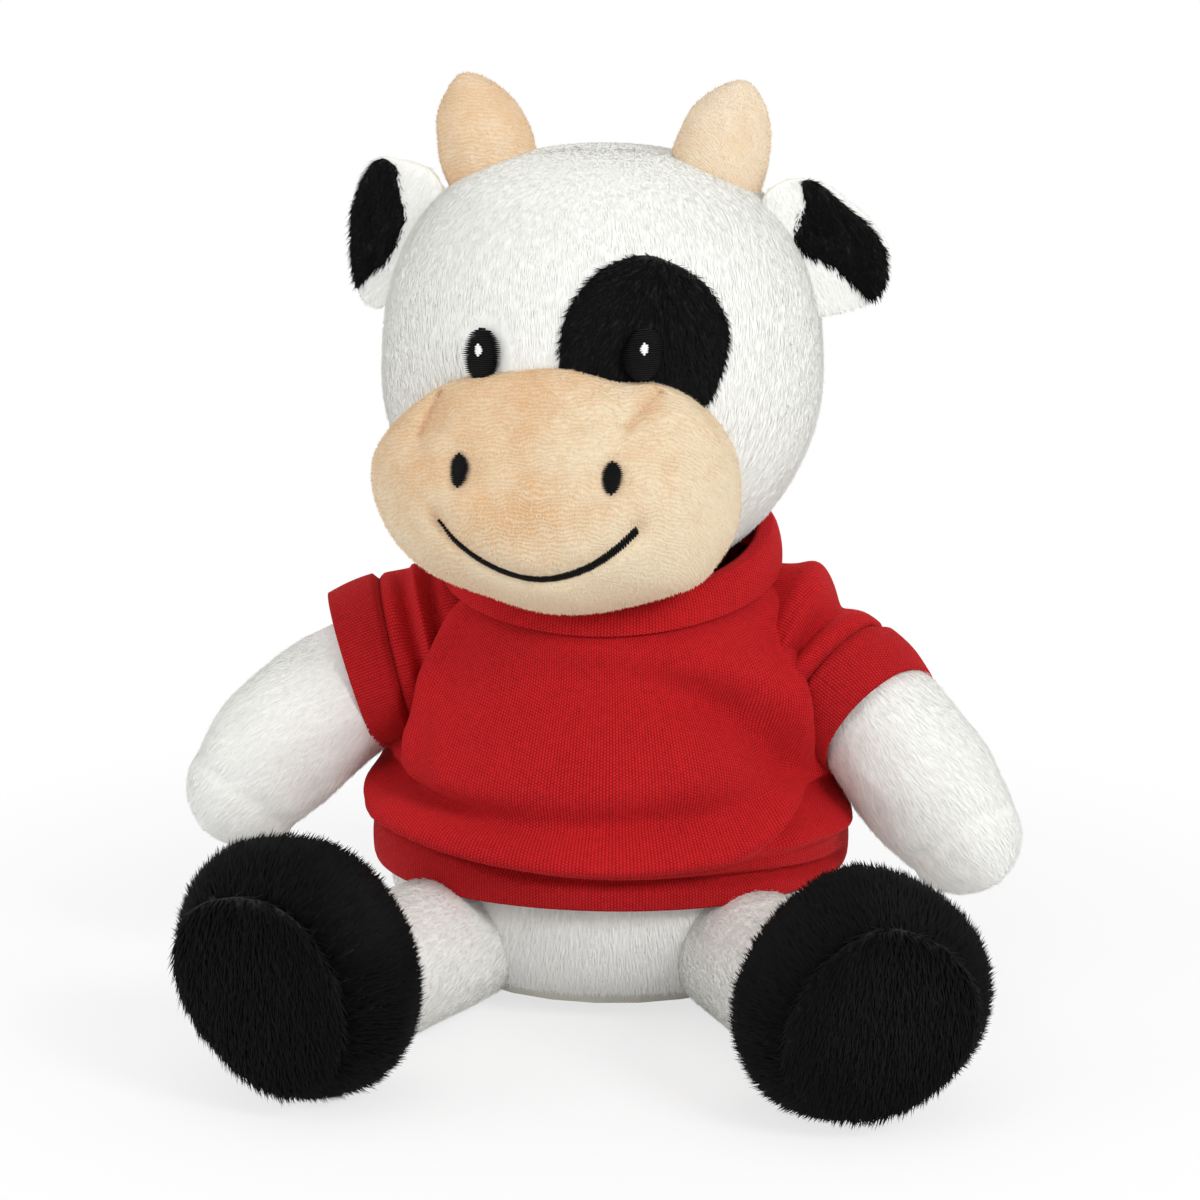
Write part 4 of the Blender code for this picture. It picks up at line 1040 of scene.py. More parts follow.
def foot_place(side, along, radius, angle):
    """Point of a foot, in rings round the line from its heel to its sole."""
    leg = Vector((side * math.sin(LEG_OUT), -math.cos(LEG_OUT), 0.0)) * LEG_LONG
    centre = Vector((side * HIP_ASIDE + leg.x, HIP_FRONT + leg.y, FOOT_SIZE[1] - 0.5))
    across = Vector((math.cos(FOOT_OUT), side * math.sin(FOOT_OUT), 0.0))
    radius *= wheel(FOOT_REACH["left" if side > 0 else "right"], angle)
    wide = FOOT_SIZE[0] * radius * math.cos(angle)
    high = FOOT_SIZE[1] * radius * math.sin(angle)
    spot = centre + foot_ahead(side) * FOOT_SIZE[2] * along + across * wide + Vector((0, 0, high))
    return Vector((spot.x, spot.y, max(spot.z, 0.0)))


def foot_rows(side, shape, rings, seed):
    rows = []
    for ring in range(rings + 1):
        place = shape[0][0] + (shape[-1][0] - shape[0][0]) * ring / rings
        radius = max(flowing(shape, place, 1), 0.0)
        if shape is FOOT_SHAPE:
            radius = min(radius, math.sqrt(max(1.03 - place * place, 0.0)))
        rows.append([foot_place(side, place, radius * (1 + 0.012 * lump(2 * angle, 3 * place, seed)), angle)
                     for angle in turns(FOOT_STEPS)])
    return rows


feet, soles = {}, {}
for side, name in SIDES:
    heel, seam, tip = [[foot_place(side, along, 0.0, 0.0)] for along in (-1.0, 0.80, 0.995)]
    rows = [heel] + foot_rows(side, FOOT_SHAPE, 30, side)[1:] + [seam]
    feet[name] = skin("foot_" + name + "_plush", rows, black_back)
    rows = [seam] + foot_rows(side, SOLE_SHAPE, 20, side + 1)[:-1] + [tip]
    soles[name] = skin("sole_" + name + "_plush", rows, black_back)
count_faces(*feet.values(), *soles.values())

# %% [markdown]
# ## Tail
# The photograph shows no back, but a cow has a tail: a thin cord of white plush with a black tuft.

# %% Tail
TAIL_LINE = ((0, 37.6, 15.2, 3.6), (0, 42, 14.3, 3.0), (0, 48, 12.6, 2.6), (0, 55, 10.8, 2.6),
             (0, 61.5, 9.2, 2.5))
TUFT_LINE = ((0, 62.2, 9.0, 3.0), (0, 65.4, 8.2, 4.6), (0, 69.0, 7.3, 4.9), (0, 72.2, 6.6, 3.6),
             (0, 74.0, 6.2, 1.6))
tail = skin("tail_plush", tube_rows(TAIL_LINE, 24, 20, cap_end=False), white_back)
tuft = skin("tail_tuft_plush", tube_rows(TUFT_LINE, 24, 16, cap_start=True), black_back)
count_faces(tail, tuft)

# %% [markdown]
# ## Shirt
# The shirt is jersey, cut a little wide, so its spare cloth settles in a roll above the hem and
# crumples under the arms. The cloth is modelled as one wrap round the body. Its distance from the
# body comes from a table of heights, and each fold is added as a ridge or a valley along a line
# seen from the front, steep on its lower side and easy on its upper side, as hanging folds are.
# Simulated cloth was left out, because these folds are known from the photograph.

# %% Shirt folds
SHIRT = (
    # height share from hem to collar seam, half width, half depth
    (0.0, 47.4, 44.6), (0.08, 47.3, 44.4), (0.16, 46.8, 43.6), (0.24, 46.4, 42.8), (0.34, 46.0, 42.2),
    (0.45, 45.2, 41.2), (0.57, 43.6, 39.6), (0.68, 41.4, 37.8), (0.79, 38.8, 35.8), (0.9, 35.8, 34.0),
    (1.0, 33.2, 33.0))
UNDER_ROLL = ((-50, 38.0), (-41, 38.2), (-34.6, 37.2), (-17.3, 34.4), (-1.2, 33.3), (7.7, 32.8), (20.5, 32.5),
              (36.2, 31.0), (46, 28.9), (50, 28.4))
OVER_ROLL = ((-48, 46.0), (-42, 44.2), (-34.7, 43.3), (-24.5, 42.2), (-10.3, 41.8), (-1.3, 41.9), (10, 42.6),
             (21, 43.6), (31, 45.0), (40, 47.0))
TUCK_EDGE = ((22, 35.8), (30.1, 38.3), (33.0, 39.5), (36.3, 41.6), (39.7, 43.1), (43.0, 44.0), (47.0, 44.6))
DRAPE = ((-14.0, 71.0), (0.0, 71.0), (10.0, 69.6), (19.0, 66.8), (26.0, 63.2), (31.0, 59.2), (36.0, 54.2),
         (40.5, 49.0), (43.5, 44.8))
CHEST_DRAPE = ((-30, 47.0), (-16, 48.5), (0, 50.0), (14, 51.5), (28, 50.0))


RAGLAN = {
    # height, distance from the middle of the seam between sleeve and body
    "left": ((43.4, 45.4), (46.0, 44.8), (53.8, 42.0), (59.8, 39.5), (65.1, 38.0), (69.0, 37.3), (75.8, 36.2),
             (81.9, 34.7), (85.6, 32.6)),
    "right": ((40.0, 42.0), (48.6, 40.0), (58.4, 37.5), (65.4, 35.8), (72.6, 33.3), (79.7, 29.7),
              (86.6, 25.7))}


def off_path(x, z, path):
    """Distance from a point to a line of straight pieces, all seen from the front."""
    return min(near_line(x, z, start, end) for start, end in zip(path, path[1:]))


def roll_fold(x, z):
    """The roll above the hem, between a groove under it and one over it."""
    under, over = flowing(UNDER_ROLL, x), flowing(OVER_ROLL, x)
    rightwards, leftwards = 1 - smooth(-34, -8, x), smooth(10, 40, x)
    brim = 1 - 0.6 * smooth(37, 46, -x)
    out = brim * (6.0 + 1.2 * rightwards - 0.6 * leftwards) * bell(z - (under + over) / 2 + 1.0, 4.4, 2.5)
    out -= 2.9 * bell(z - under, 0.8, 1.1)
    groove = 1.8 + 4.4 * rightwards - 0.8 * leftwards
    return out - groove * bell(z - over - 0.8, 4.2 - 1.4 * rightwards, 1.4)


def shirt_folds(x, z):
    """How far the front of the shirt stands out or falls in, at a point seen from the front."""
    # The tuck under the left arm, whose lower edge hangs over, and the long drape that ends in it.
    # Where both fall in, the deeper one counts, so the torso behind never shows.
    edge, tuck = flowing(TUCK_EDGE, x), smooth(23, 34, x)
    out = roll_fold(x, z) + 2.8 * tuck * bell(z - edge - 1.8, 4.6, 1.2)
    fall = 2.9 * tuck * bell(z - edge + 1.2, 1.1, 3.6)
    if x > -26 and z > 38:
        fade = 0.3 * smooth(-24, -4, x) + 0.7 * smooth(6, 28, x)
        out += fade * 3.6 * bell(off_path(x - 5.4, z - 5.4, DRAPE), 5.0)
        fall = max(fall, fade * 4.5 * bell(off_path(x, z, DRAPE), 4.2))
    out -= fall
    # A pocket beside the right arm, the drape of the chest, a dip over it and a fold to the arm.
    out -= 2.8 * (bell(x + 40.0 - 0.12 * (z - 44), 2.4) * smooth(40, 44, z) * (1 - smooth(50, 56, z)))
    out += 2.6 * bell(z - flowing(CHEST_DRAPE, x), 7.0) * (1 - smooth(18, 34, x))
    out -= 1.2 * bell(z - 66.0, 5.0) * (1 - smooth(-4, 10, x)) * smooth(-34, -16, x)
    out += 0.9 * bell(x + 31 + 0.25 * (z - 58), 3.0) * smooth(44, 52, z) * (1 - smooth(64, 74, z))
    # The raglan seam: a welt inside it, a groove on it, and the sleeve's side behind.
    off = abs(x) - flowing(RAGLAN["left" if x > 0 else "right"], z)
    seam = smooth(46, 52, z) * (1 - smooth(83, 88, z))
    return out + seam * (1.8 * bell(off + 2.0, 2.0) - 1.4 * bell(off - 0.4, 0.8)
                         - 4.6 * smooth(-0.3, 2.2, off))


print("roll over the hem stands out", round(shirt_folds(0, 37.5), 1), "mm in front")

# %% [markdown]
# ## From the folds to a sheet of cloth
# The wrap is a point for each angle round the body and each share of its height. Every sheet gets
# a map in millimetres, measured along the cloth, and a real thickness from a Solidify modifier.

# %% Wrap and cloth


def forward_share(angle):
    """1 in front of the body, 0 at its sides and behind."""
    return max(-math.sin(angle), 0.0)


def collar_seam(angle):
    """Height of the seam between shirt and neckband; it is lowest in front."""
    return 85.6 - 5.4 * forward_share(angle) ** 1.3 - 0.8 * max(math.sin(angle), 0.0)


def hem_low(angle):
    return 27.2 - 1.6 * math.cos(angle) ** 2


def wrap_point(angle, share, out=0.0):
    """Point of the shirt's face at an angle round the body and a share of its height."""
    low, high = hem_low(angle), collar_seam(angle)
    z = low + (high - low) * share
    wide, deep = flowing(SHIRT, share, 1), flowing(SHIRT, share, 2)
    x = wide * math.cos(angle)
    front = smooth(0.0, 0.35, forward_share(angle))
    if front > 0:
        out += front * shirt_folds(x, z)
    back_roll = 2.2 * bell(z - 39.5 - 1.2 * math.sin(3 * angle), 4.0, 3.0) - 1.3 * bell(z - 35.0, 1.0, 1.2)
    back_roll += 0.8 * bell(z - 52 - 3.0 * math.sin(2 * angle + 1), 5.0, 4.0)
    out += (1 - front) * back_roll - 1.3 * smooth(0.93, 0.99, share)
    normal = Vector((math.cos(angle) / wide, math.sin(angle) / deep)).normalized()
    return Vector((x + normal.x * out, deep * math.sin(angle) + normal.y * out, z))


def cloth(name, rows, material, thick=0.8):
    """Sheet of jersey through rings of points, with a map in millimetres and a real thickness."""
    piece = skin(name, rows, material)
    mesh = piece.data
    layer = mesh.uv_layers.new(name="cloth_mm")
    wide = len(rows[0])
    middle = rows[len(rows) // 2]
    rounds = [0.0]
    for first, second in zip(middle, middle[1:] + middle[:1]):
        rounds.append(rounds[-1] + (Vector(second) - Vector(first)).length)
    place = {}
    for column in range(wide):
        up = 0.0
        for number, row in enumerate(rows):
            if number:
                up += (Vector(row[column]) - Vector(rows[number - 1][column])).length
            place[number * wide + column] = (rounds[column], up)
    for face in mesh.polygons:
        corners = [mesh.loops[loop].vertex_index for loop in face.loop_indices]
        columns = {corner % wide for corner in corners}
        for loop, corner in zip(face.loop_indices, corners):
            u, v = place[corner]
            if corner % wide == 0 and wide - 1 in columns:
                u += rounds[-1]
            layer.data[loop].uv = (u, v)
    wall = piece.modifiers.new("thickness", "SOLIDIFY")
    wall.thickness = thick * MM
    wall.offset = -1.0
    wall.use_even_offset = False
    return settle(piece)


print("the shirt is", round(collar_seam(-PI / 2) - hem_low(-PI / 2), 1), "mm high in front")

# %% [markdown]
# ## Shirt body, hem and neckband
# The body starts behind the hem band, which is a doubled, rounded band of its own. The neckband
# bulges and rolls over at its upper edge, and gapes a little beside the muzzle on the toy's left.

# %% Shirt body, hem and neckband
AROUND, BODY_RINGS, HEM_RINGS = 320, 100, 14
HEM_SHARE = 0.165
BODY_LOW = HEM_SHARE * 0.55
COLLAR_SHARES = (0.0, 0.06, 0.14, 0.24, 0.36, 0.48, 0.6, 0.72, 0.82, 0.9, 0.96, 1.0, 1.08, 1.2, 1.35)
angles = turns(AROUND)

body_rows = [[wrap_point(angle, BODY_LOW + (1 - BODY_LOW) * ring / BODY_RINGS) for angle in angles]
             for ring in range(BODY_RINGS + 1)]
shirt = cloth("shirt_jersey", body_rows, red_jersey)
hem_rows = []
for ring in range(HEM_RINGS + 1):
    share = HEM_SHARE * 0.98 * ring / HEM_RINGS
    roundness = 0.45 * math.sqrt(max(1 - (2 * ring / HEM_RINGS - 1) ** 2, 0))
    stand = 0.35 + roundness - smooth(0.85, 1.0, ring / HEM_RINGS)
    hem_rows.append([wrap_point(angle, share, stand) for angle in angles])
hem = cloth("shirt_hem", hem_rows, red_band, 1.0)


def collar_point(angle, share):
    """Point of the neckband; a share over 1 lies on the part that rolls in."""
    forward, risen = forward_share(angle), min(share, 1.0)
    radius = 34.1 + 0.7 * math.sin(PI * risen) - 2.3 * share - 1.2 * smooth(0.8, 1.25, share)
    z = collar_seam(angle) - 0.9 + (11.5 - 6.6 * forward ** 1.6) * risen - 1.2 * max(share - 1.0, 0.0)
    if share > 1.0:
        radius -= 4.0 * (share - 1.0)
    gape = bell(angle - 2 * PI + 0.35, 0.45) + bell(angle + 0.35, 0.45)
    radius += 1.5 * gape * risen
    z -= 1.4 * gape * risen
    squeeze = 1.6 * forward * share
    return Vector((radius * math.cos(angle), (radius - squeeze) * math.sin(angle), z))


collar_rows = [[collar_point(angle, share) for angle in angles] for share in COLLAR_SHARES]
collar = cloth("neckband_jersey", collar_rows, red_jersey, 0.9)
count_faces(shirt, hem, collar)

# %% [markdown]
# ## Sleeves
# Raglan sleeves run from the neckband to short cuffs, and their seam with the front shows where
# the sleeve dives behind the front panel. Each sleeve is lofted through a few hoops, each with
# a middle, the way it faces, and its half height and half depth. The cuff band is a separate hoop.

# %% Sleeve hoops
SLEEVES = {
    # middle, facing, half height, half depth
    "left": (
        ((22, 0, 71), (1.0, -0.05, -0.05), 13.5, 11.0), ((30, -1, 70.0), (0.97, -0.12, -0.2), 16.2, 12.6),
        ((35.2, -1.8, 68.6), (0.93, -0.2, -0.3), 16.8, 14.2), ((39.8, -2.6, 65.8),
        (0.86, -0.3, -0.4), 15.8, 15.6), ((45.5, -4.0, 62.9), (0.74, -0.42, -0.5), 14.7, 15.8),
        ((50.1, -4.9, 59.2), (0.69, -0.46, -0.5), 14.4, 15.4),
        ((54.2, -5.6, 55.4), (0.67, -0.48, -0.5), 13.6, 14.6)),
    "right": (
        ((-20, 0, 71), (-1.0, -0.05, -0.05), 13.0, 15.5), ((-28, -1, 70.0),
        (-0.99, -0.08, -0.12), 15.6, 16.6), ((-33.5, -1.6, 68.6), (-0.98, -0.1, -0.16), 16.4, 16.6),
        ((-38, -2.3, 67.2), (-0.97, -0.12, -0.2), 16.4, 16.4),
        ((-42.8, -3.0, 65.9), (-0.96, -0.14, -0.22), 16.4, 16.2),
        ((-47.2, -3.5, 64.2), (-0.95, -0.15, -0.27), 16.2, 16.0), ((-51.6, -4.0, 62.4),
        (-0.94, -0.15, -0.3), 16.0, 15.6))}
SEAM_HOOP, LAST_HOOP = 4.0, 6
SLEEVE_RINGS, CUFF_RINGS, SLEEVE_STEPS = 44, 14, 96
SLEEVE_FRONT = Vector((0.12, -0.98, 0.1))


def crease(place, at, wide):
    return bell(place - at, wide)


def sleeve_fold(name, place, angle):
    """Folds of a sleeve; angle 0 is its front, a quarter turn is its top."""
    rise, front = math.sin(angle), math.cos(angle)
    if name == "left":
        ridge = 2.2 * crease(place, 2.0, 0.45) * smooth(-0.4, 0.6, rise)
        notch = 2.2 * crease(place, 2.95, 0.34) * smooth(0.3, 0.9, rise)
        fold = 1.6 * crease(place, 2.45 + 0.15 * rise, 0.26) * smooth(0.0, 0.6, front)
        groove = 2.6 * crease(place, 2.95 + 0.25 * rise, 0.2) * smooth(0, 0.5, front)
        groove *= 1 - smooth(0.5, 1.0, rise)
        roll = 1.8 * crease(place, 3.5 + 0.3 * rise, 0.34) * smooth(0, 0.6, front)
        return ridge + fold + roll - notch - groove
    first = 2.8 * crease(place, 1.85 + 0.3 * rise, 0.24)
    second = 2.6 * crease(place, 3.0 + 0.15 * rise, 0.27)
    crest = 2.2 * crease(place, 2.4 + 0.2 * rise, 0.26)
    return (crest - first - second) * smooth(-0.2, 0.5, front)


def sleeve_point(name, place, angle, out=0.0):
    """Point of a sleeve at a place between its hoops and an angle round it."""
    table = [(number, *middle, *facing, high, deep)
             for number, (middle, facing, high, deep) in enumerate(SLEEVES[name])]
    values = [flowing(table, place, column) for column in range(1, 9)]
    middle, facing = Vector(values[0:3]), Vector(values[3:6]).normalized()
    forward = (SLEEVE_FRONT - facing * SLEEVE_FRONT.dot(facing)).normalized()
    upward = facing.cross(forward)
    if upward.z < 0:
        upward = -upward
    out += sleeve_fold(name, place, angle) - 0.8 * crease(place, SEAM_HOOP, 0.1)
    gather = 0.35 * math.sin(5 * angle + place) * smooth(0.5, 2.0, place) * (1 - smooth(3.2, 4.0, place))
    high, deep = values[6] + out + gather, values[7] + out + gather
    return middle + forward * deep * math.cos(angle) + upward * high * math.sin(angle)


sleeves, cuffs = {}, {}
for name in SLEEVES:
    rows = [[sleeve_point(name, SEAM_HOOP * ring / SLEEVE_RINGS, angle) for angle in turns(SLEEVE_STEPS)]
            for ring in range(SLEEVE_RINGS + 1)]
    sleeves[name] = cloth("sleeve_" + name + "_jersey", rows, red_jersey)
    rows = []
    for share in [ring / CUFF_RINGS for ring in range(CUFF_RINGS + 1)]:
        bulge = 0.5 + 0.35 * math.sin(PI * share) - 1.3 * (1 - smooth(0.0, 0.15, share))
        place = SEAM_HOOP - 0.06 + (LAST_HOOP - SEAM_HOOP + 0.06) * share
        rows.append([sleeve_point(name, place, angle, bulge) for angle in turns(SLEEVE_STEPS)])
    cuffs[name] = cloth("cuff_" + name + "_jersey", rows, red_band, 1.0)
count_faces(*sleeves.values(), *cuffs.values())

# %% [markdown]
# ## Embroidery
# Eyes, nostrils and smile are satin stitch: rows of thread laid side by side across the shape.
# One stitch is a low rounded bar. A node tree lays it at each point of a cloud of places that
# store which way the stitch lies and how long it is, so every shape uses the same tree. The eyes
# are padded: more layers of the same stitches lie under the top one.

# %% Stitch tree
STITCH_PITCH, LAYER_STEP = 0.38, 0.55
EYE_LAYERS, SMILE_STITCHES = 4, 90
EYE_MIDDLES = {"left": (15.4, 11.7), "right": (-15.0, 10.2)}
EYE_LIFTS = {"left": 1.5, "right": 0.55}


def stitch_tree(thread):
    """Node tree that lays one rounded stitch at each point."""
    tree, given = geometry_tree("satin_" + thread.name, ("Thread", "Rise"))
    bar = add(tree, "GeometryNodeMeshUVSphere", None, {"Segments": 8, "Rings": 6, "Radius": 0.5})
    turn = aim(tree, "X", stored(tree, "way"), "Z", stored(tree, "up"))
    size = add(tree, "ShaderNodeCombineXYZ", None,
               {0: stored(tree, "reach", "FLOAT"), 1: given["Thread"], 2: given["Rise"]}).outputs[0]
    laid = put_on_points(tree, given["Geometry"], bar.outputs[0], turn, size, thread)
    add(tree, "NodeGroupOutput", None, {0: laid})
    return tree


satin = {"black": stitch_tree(black_thread), "white": stitch_tree(white_thread)}


def embroider(name, stitches, colour, thread_mm=0.5, rise_mm=0.75):
    """Stitches are (middle, way, up, length), all in the toy's place."""
    mesh = bpy.data.meshes.new(name)
    mesh.from_pydata([tuple(Vector(stitch[0]) * MM) for stitch in stitches], [], [])
    for column, label in ((1, "way"), (2, "up")):
        layer = mesh.attributes.new(label, "FLOAT_VECTOR", "POINT")
        for number, stitch in enumerate(stitches):
            layer.data[number].vector = Vector(stitch[column]).normalized()
    layer = mesh.attributes.new("reach", "FLOAT", "POINT")
    for number, stitch in enumerate(stitches):
        layer.data[number].value = stitch[3] * MM
    piece = grown(name, mesh, satin[colour], {"Thread": thread_mm * MM, "Rise": rise_mm * MM})
    shade_smooth(piece)
    return piece


def face_up(x, z, surface):
    """Point on the face and the way it looks, from its depth at three near points."""
    here = on_head(x, surface(x, z), z)
    side = on_head(x + 0.5, surface(x + 0.5, z), z)
    above = on_head(x, surface(x, z + 0.5), z + 0.5)
    up = (side - here).cross(above - here)
    return here, up.normalized()


def raised(surface, lift):
    """A front seen from the front, raised by a lift."""
    return lambda x, z: surface(x, z, lift)


def satin_oval(name, middle, wide, high, surface, colour, lift, layers=1):
    """Oval of level stitches, a little ragged at both ends; padded ones have more layers below."""
    ragged = random.Random(name)
    stitches = []
    count = int(high / STITCH_PITCH)
    for number in range(count + 1):
        z = middle[1] - high / 2 + high * number / count
        reach = wide * math.sqrt(max(1 - (2 * (z - middle[1]) / high) ** 2, 0.0)) + ragged.uniform(-0.05, 0.2)
        here, up = face_up(middle[0] + ragged.uniform(-0.08, 0.08), z, surface)
        across = face_up(middle[0] + 1.0, z, surface)[0] - here + Vector((0, 0, 0.06))
        for layer in range(layers):
            stitches.append((here + up * (lift - LAYER_STEP * layer), across, up, max(reach, 0.5)))
    return embroider(name, stitches, colour)


eyes, glints, nostrils = {}, {}, {}
for side, name in SIDES:
    middle, top = EYE_MIDDLES[name], raised(head_depth, EYE_LIFTS[name])
    eyes[name] = satin_oval("eye_" + name + "_satin", middle, 7.8, 9.6, top, "black", 1.7, EYE_LAYERS)
    glint_middle = (middle[0], middle[1] + 1.0)
    glints[name] = satin_oval("glint_" + name + "_satin", glint_middle, 1.8, 1.9, top, "white", 2.15)
    nostril = (NOSE_X + side * NOSTRIL_ASIDE, NOSTRIL_HEIGHT)
    nostrils[name] = satin_oval("nostril_" + name + "_satin", nostril, 4.2, 6.2, raised(muzzle_front, 0.1),
                                "black", 0.5)
count_faces(*eyes.values(), *glints.values(), *nostrils.values())

# %% [markdown]
# ## Smile
# The smile is one row of short stitches laid side by side along a curve, each turned a little off
# square. It widens towards the toy's left, as the photograph shows, and starts narrow at its right.

# %% Smile
smile_stitches = []
ragged, lips = random.Random("smile"), raised(muzzle_front, 0.0)
for number in range(SMILE_STITCHES + 1):
    share = 2 * number / SMILE_STITCHES - 1
    x = NOSE_X + SMILE_HALF * share
    here, up = face_up(x, smile_height(x), lips)
    ahead = face_up(x + 0.4, smile_height(x + 0.4), lips)[0] - here
    across = up.cross(ahead).normalized() + ahead.normalized() * 0.5
    wide = 1.75 + 0.6 * share - 0.5 * (1 - smooth(0.0, 0.2, 1 + share))
    smile_stitches.append((here + up * 0.2, across, up, wide + ragged.uniform(-0.15, 0.3)))
smile = embroider("smile_satin", smile_stitches, "black", 0.6, 0.8)
count_faces(smile)

# %% [markdown]
# ## Brushing the plush
# Each skin is told how its pile lies. White plush is brushed down and back from the face, arms
# and legs are brushed to their ends, and a foot's pile leaves its sole seam on both sides. No
# fibres grow under the shirt or the muzzle, or on the right eye; the left eye sits on the patch's pile.

# %% Where the pile grows
SHIRT_HIDES = 34
BALD_SPOT = (-15.0, 11.2, 5.2, 6.8)


def in_oval(x, z, middle_x, middle_z, half_wide, half_high):
    return ((x - middle_x) / half_wide) ** 2 + ((z - middle_z) / half_high) ** 2 < 1


def head_pile(place):
    """No pile under the patch, the muzzle, the right eye and the neckband; shorter at the crown."""
    local = head_local(place)
    if local.z < -40:
        return 0.0
    if local.y < 0 and (inside_patch(local.x, local.z, -0.4) or muzzle_share(local.x, local.z) < 0.93
                        or in_oval(local.x, local.z, *BALD_SPOT)):
        return 0.0
    return 1.0 - 0.4 * smooth(34, 42, local.z)


def muzzle_pile(place, normal):
    """Velvet everywhere but under the stitches and behind."""
    local = head_local(place)
    aside = abs(local.x - NOSE_X)
    if normal.y > 0.6:
        return 0.0
    under_smile = aside < SMILE_HALF + 0.3 and abs(local.z - smile_height(local.x)) < 0.8
    if local.y < MUZZLE_CENTRE[1] and (
            under_smile or in_oval(aside, local.z, NOSTRIL_ASIDE, NOSTRIL_HEIGHT, 2.1, 3.1)):
        return 0.0
    return 1.0


def under_lining(name, place):
    """True where a point of an ear lies behind its lining, seen from the front."""
    local = head_local(place)
    x, z = abs(local.x), local.z
    crossings = 0
    outline = lining_outlines[name]
    for (x0, z0), (x1, z1) in zip(outline, outline[1:] + outline[:1]):
        if (z0 > z) != (z1 > z) and x < x0 + (z - z0) / (z1 - z0) * (x1 - x0):
            crossings += 1
    return crossings % 2 == 1


print("pile at the brow:", head_pile(on_head(0, -HEAD_WIDE, 20)), "of its full length")

# %% [markdown]
# ## Combing
# A rule for the way is a vector, or a function of the place and the normal where it changes over
# the skin. So is a rule for the length: pile fades out near the floor, where it is pressed flat.

# %% Comb each skin


def down_and_out(place, normal):
    return Vector((0.25 * normal.x, 0.15, -1.0))


def head_comb(place, normal):
    """The nap runs from the crown over the face, and parts a little right of the middle."""
    return Vector((0.5 * (place.x + 8.0) / 40, -0.8, -0.6))


comb_skin(patch, lambda p, n: Vector((0.03 * (p.x - 15), 0.1, 0.03 * (p.z - 137) - 0.7)),
          lambda p, n: 1.0 if n.y < 0.2 else 0.0)
comb_skin(torso, down_and_out, lambda p, n: smooth(0.8, 3.6, p.z) if p.z < SHIRT_HIDES else 0.0)
comb_skin(neck, down_and_out, lambda p, n: 0.5 if p.z > 84 else 0.0)
for name, line in ARM_LINES.items():
    way, start = Vector(line[-1][:3]) - Vector(line[1][:3]), Vector(line[2][:3])
    comb_skin(arms[name], way, lambda p, n: smooth(-9, -4, (p - start).dot(way.normalized())))
for side, name in SIDES:
    comb_skin(legs[name], Vector((side * 0.47, -0.88, -0.1)), lambda p, n: smooth(0.8, 3.6, p.z))
    comb_skin(feet[name], -foot_ahead(side) + Vector((0, 0, 0.1)), lambda p, n: smooth(0.6, 4.5, p.z))
    comb_skin(soles[name], Vector((-0.25 * side, 0.1, -1.0)),
              lambda p, n: smooth(0.6, 4.5, p.z) if n.y < 0.3 else 0.0)
    ear_way = Vector((0.4 * side, 0.2, -0.9))
    comb_skin(ears[name], ear_way, lambda p, n: 0.0 if n.y < 0.1 and under_lining(name, p) else 0.8)
    comb_skin(linings[name], ear_way, lambda p, n: 1.0 if n.y < 0.35 else 0.2)
    comb_skin(horns[name], Vector((0, 0, 1)), 1.0)
comb_skin(tail, Vector((0, 1, -0.25)), 0.6)
comb_skin(tuft, Vector((0, 1, -0.25)), 1.0)
comb_skin(muzzle, lambda p, n: Vector((0.2 * n.x, 0.2, -1.0)), muzzle_pile)
print("combed:", len([mesh for mesh in bpy.data.meshes if "comb" in mesh.attributes]), "skins")

# %% [markdown]
# ## Growing the pile
# Each pile is a piece of its own that rides with its skin. The head's pile is grown in two halves,
# front and back, so that neither is too heavy for an export, and the back is a little thinner.

# %% Grow the pile
piles = []


def cover(piece, body, colour, *values):
    """Grows the pile of a combed skin; the values are those of PILE_LABELS."""
    pile = grown(piece.name + "_pile", piece.data.copy(), pile_trees[colour], dict(zip(PILE_LABELS, values)))
    for name in ("comb", "pile"):
        if name in pile.data.attributes:
            pile.data.attributes.remove(pile.data.attributes[name])
    count_faces(pile)
    piles.append((pile, body, colour))


for part, way, per_mm2, seed in (("front", -1, 4.3, 3), ("back", 1, 3.3, 4)):
    half = skin("head_plush_" + part, head_rows, white_back)
    comb_skin(half, head_comb, lambda p, n: head_pile(p) if p.y * way > -2.5 else 0.0)
    cover(half, "head", "white", per_mm2, 1.9, 0.33, 0.17, 0.13, seed)
    bpy.data.objects.remove(half, do_unlink=True)
cover(patch, "head", "black", 5.5, 1.9, 0.34, 0.36, 0.3, 5)
cover(torso, "torso", "white", 4.2, 1.9, 0.34, 0.2, 0.16, 7)
cover(neck, "neck_root", "white", 1.2, 2.0, 0.42, 0.24, 0.17, 8)
cover(tail, "tail_root", "white", 2.9, 1.8, 0.4, 0.24, 0.17, 9)
cover(tuft, "tail_root", "black", 4.0, 3.6, 0.45, 0.45, 0.28, 10)
cover(muzzle, "head", "peach", 2.6, 0.55, 0.2, 0.8, 0.5, 11)
for number, (_, name) in enumerate(SIDES):
    cover(arms[name], "arm_body_" + name, "white", 4.0, 1.9, 0.34, 0.2, 0.16, 20 + number)
    cover(legs[name], "leg_body_" + name, "white", 4.0, 1.9, 0.34, 0.2, 0.16, 30 + number)
    cover(feet[name], "leg_body_" + name, "black", 4.0, 3.2, 0.5, 0.42, 0.24, 40 + number)
    cover(soles[name], "leg_body_" + name, "black", 4.5, 2.9, 0.5, 0.36, 0.24, 50 + number)
    cover(ears[name], "ear_" + name, "white", 3.5, 1.6, 0.36, 0.22, 0.17, 60 + number)
    cover(linings[name], "ear_" + name, "black", 5.5, 1.9, 0.38, 0.42, 0.38, 70 + number)
    cover(horns[name], "head", "peach", 2.6, 0.55, 0.2, 0.8, 0.5, 80 + number)
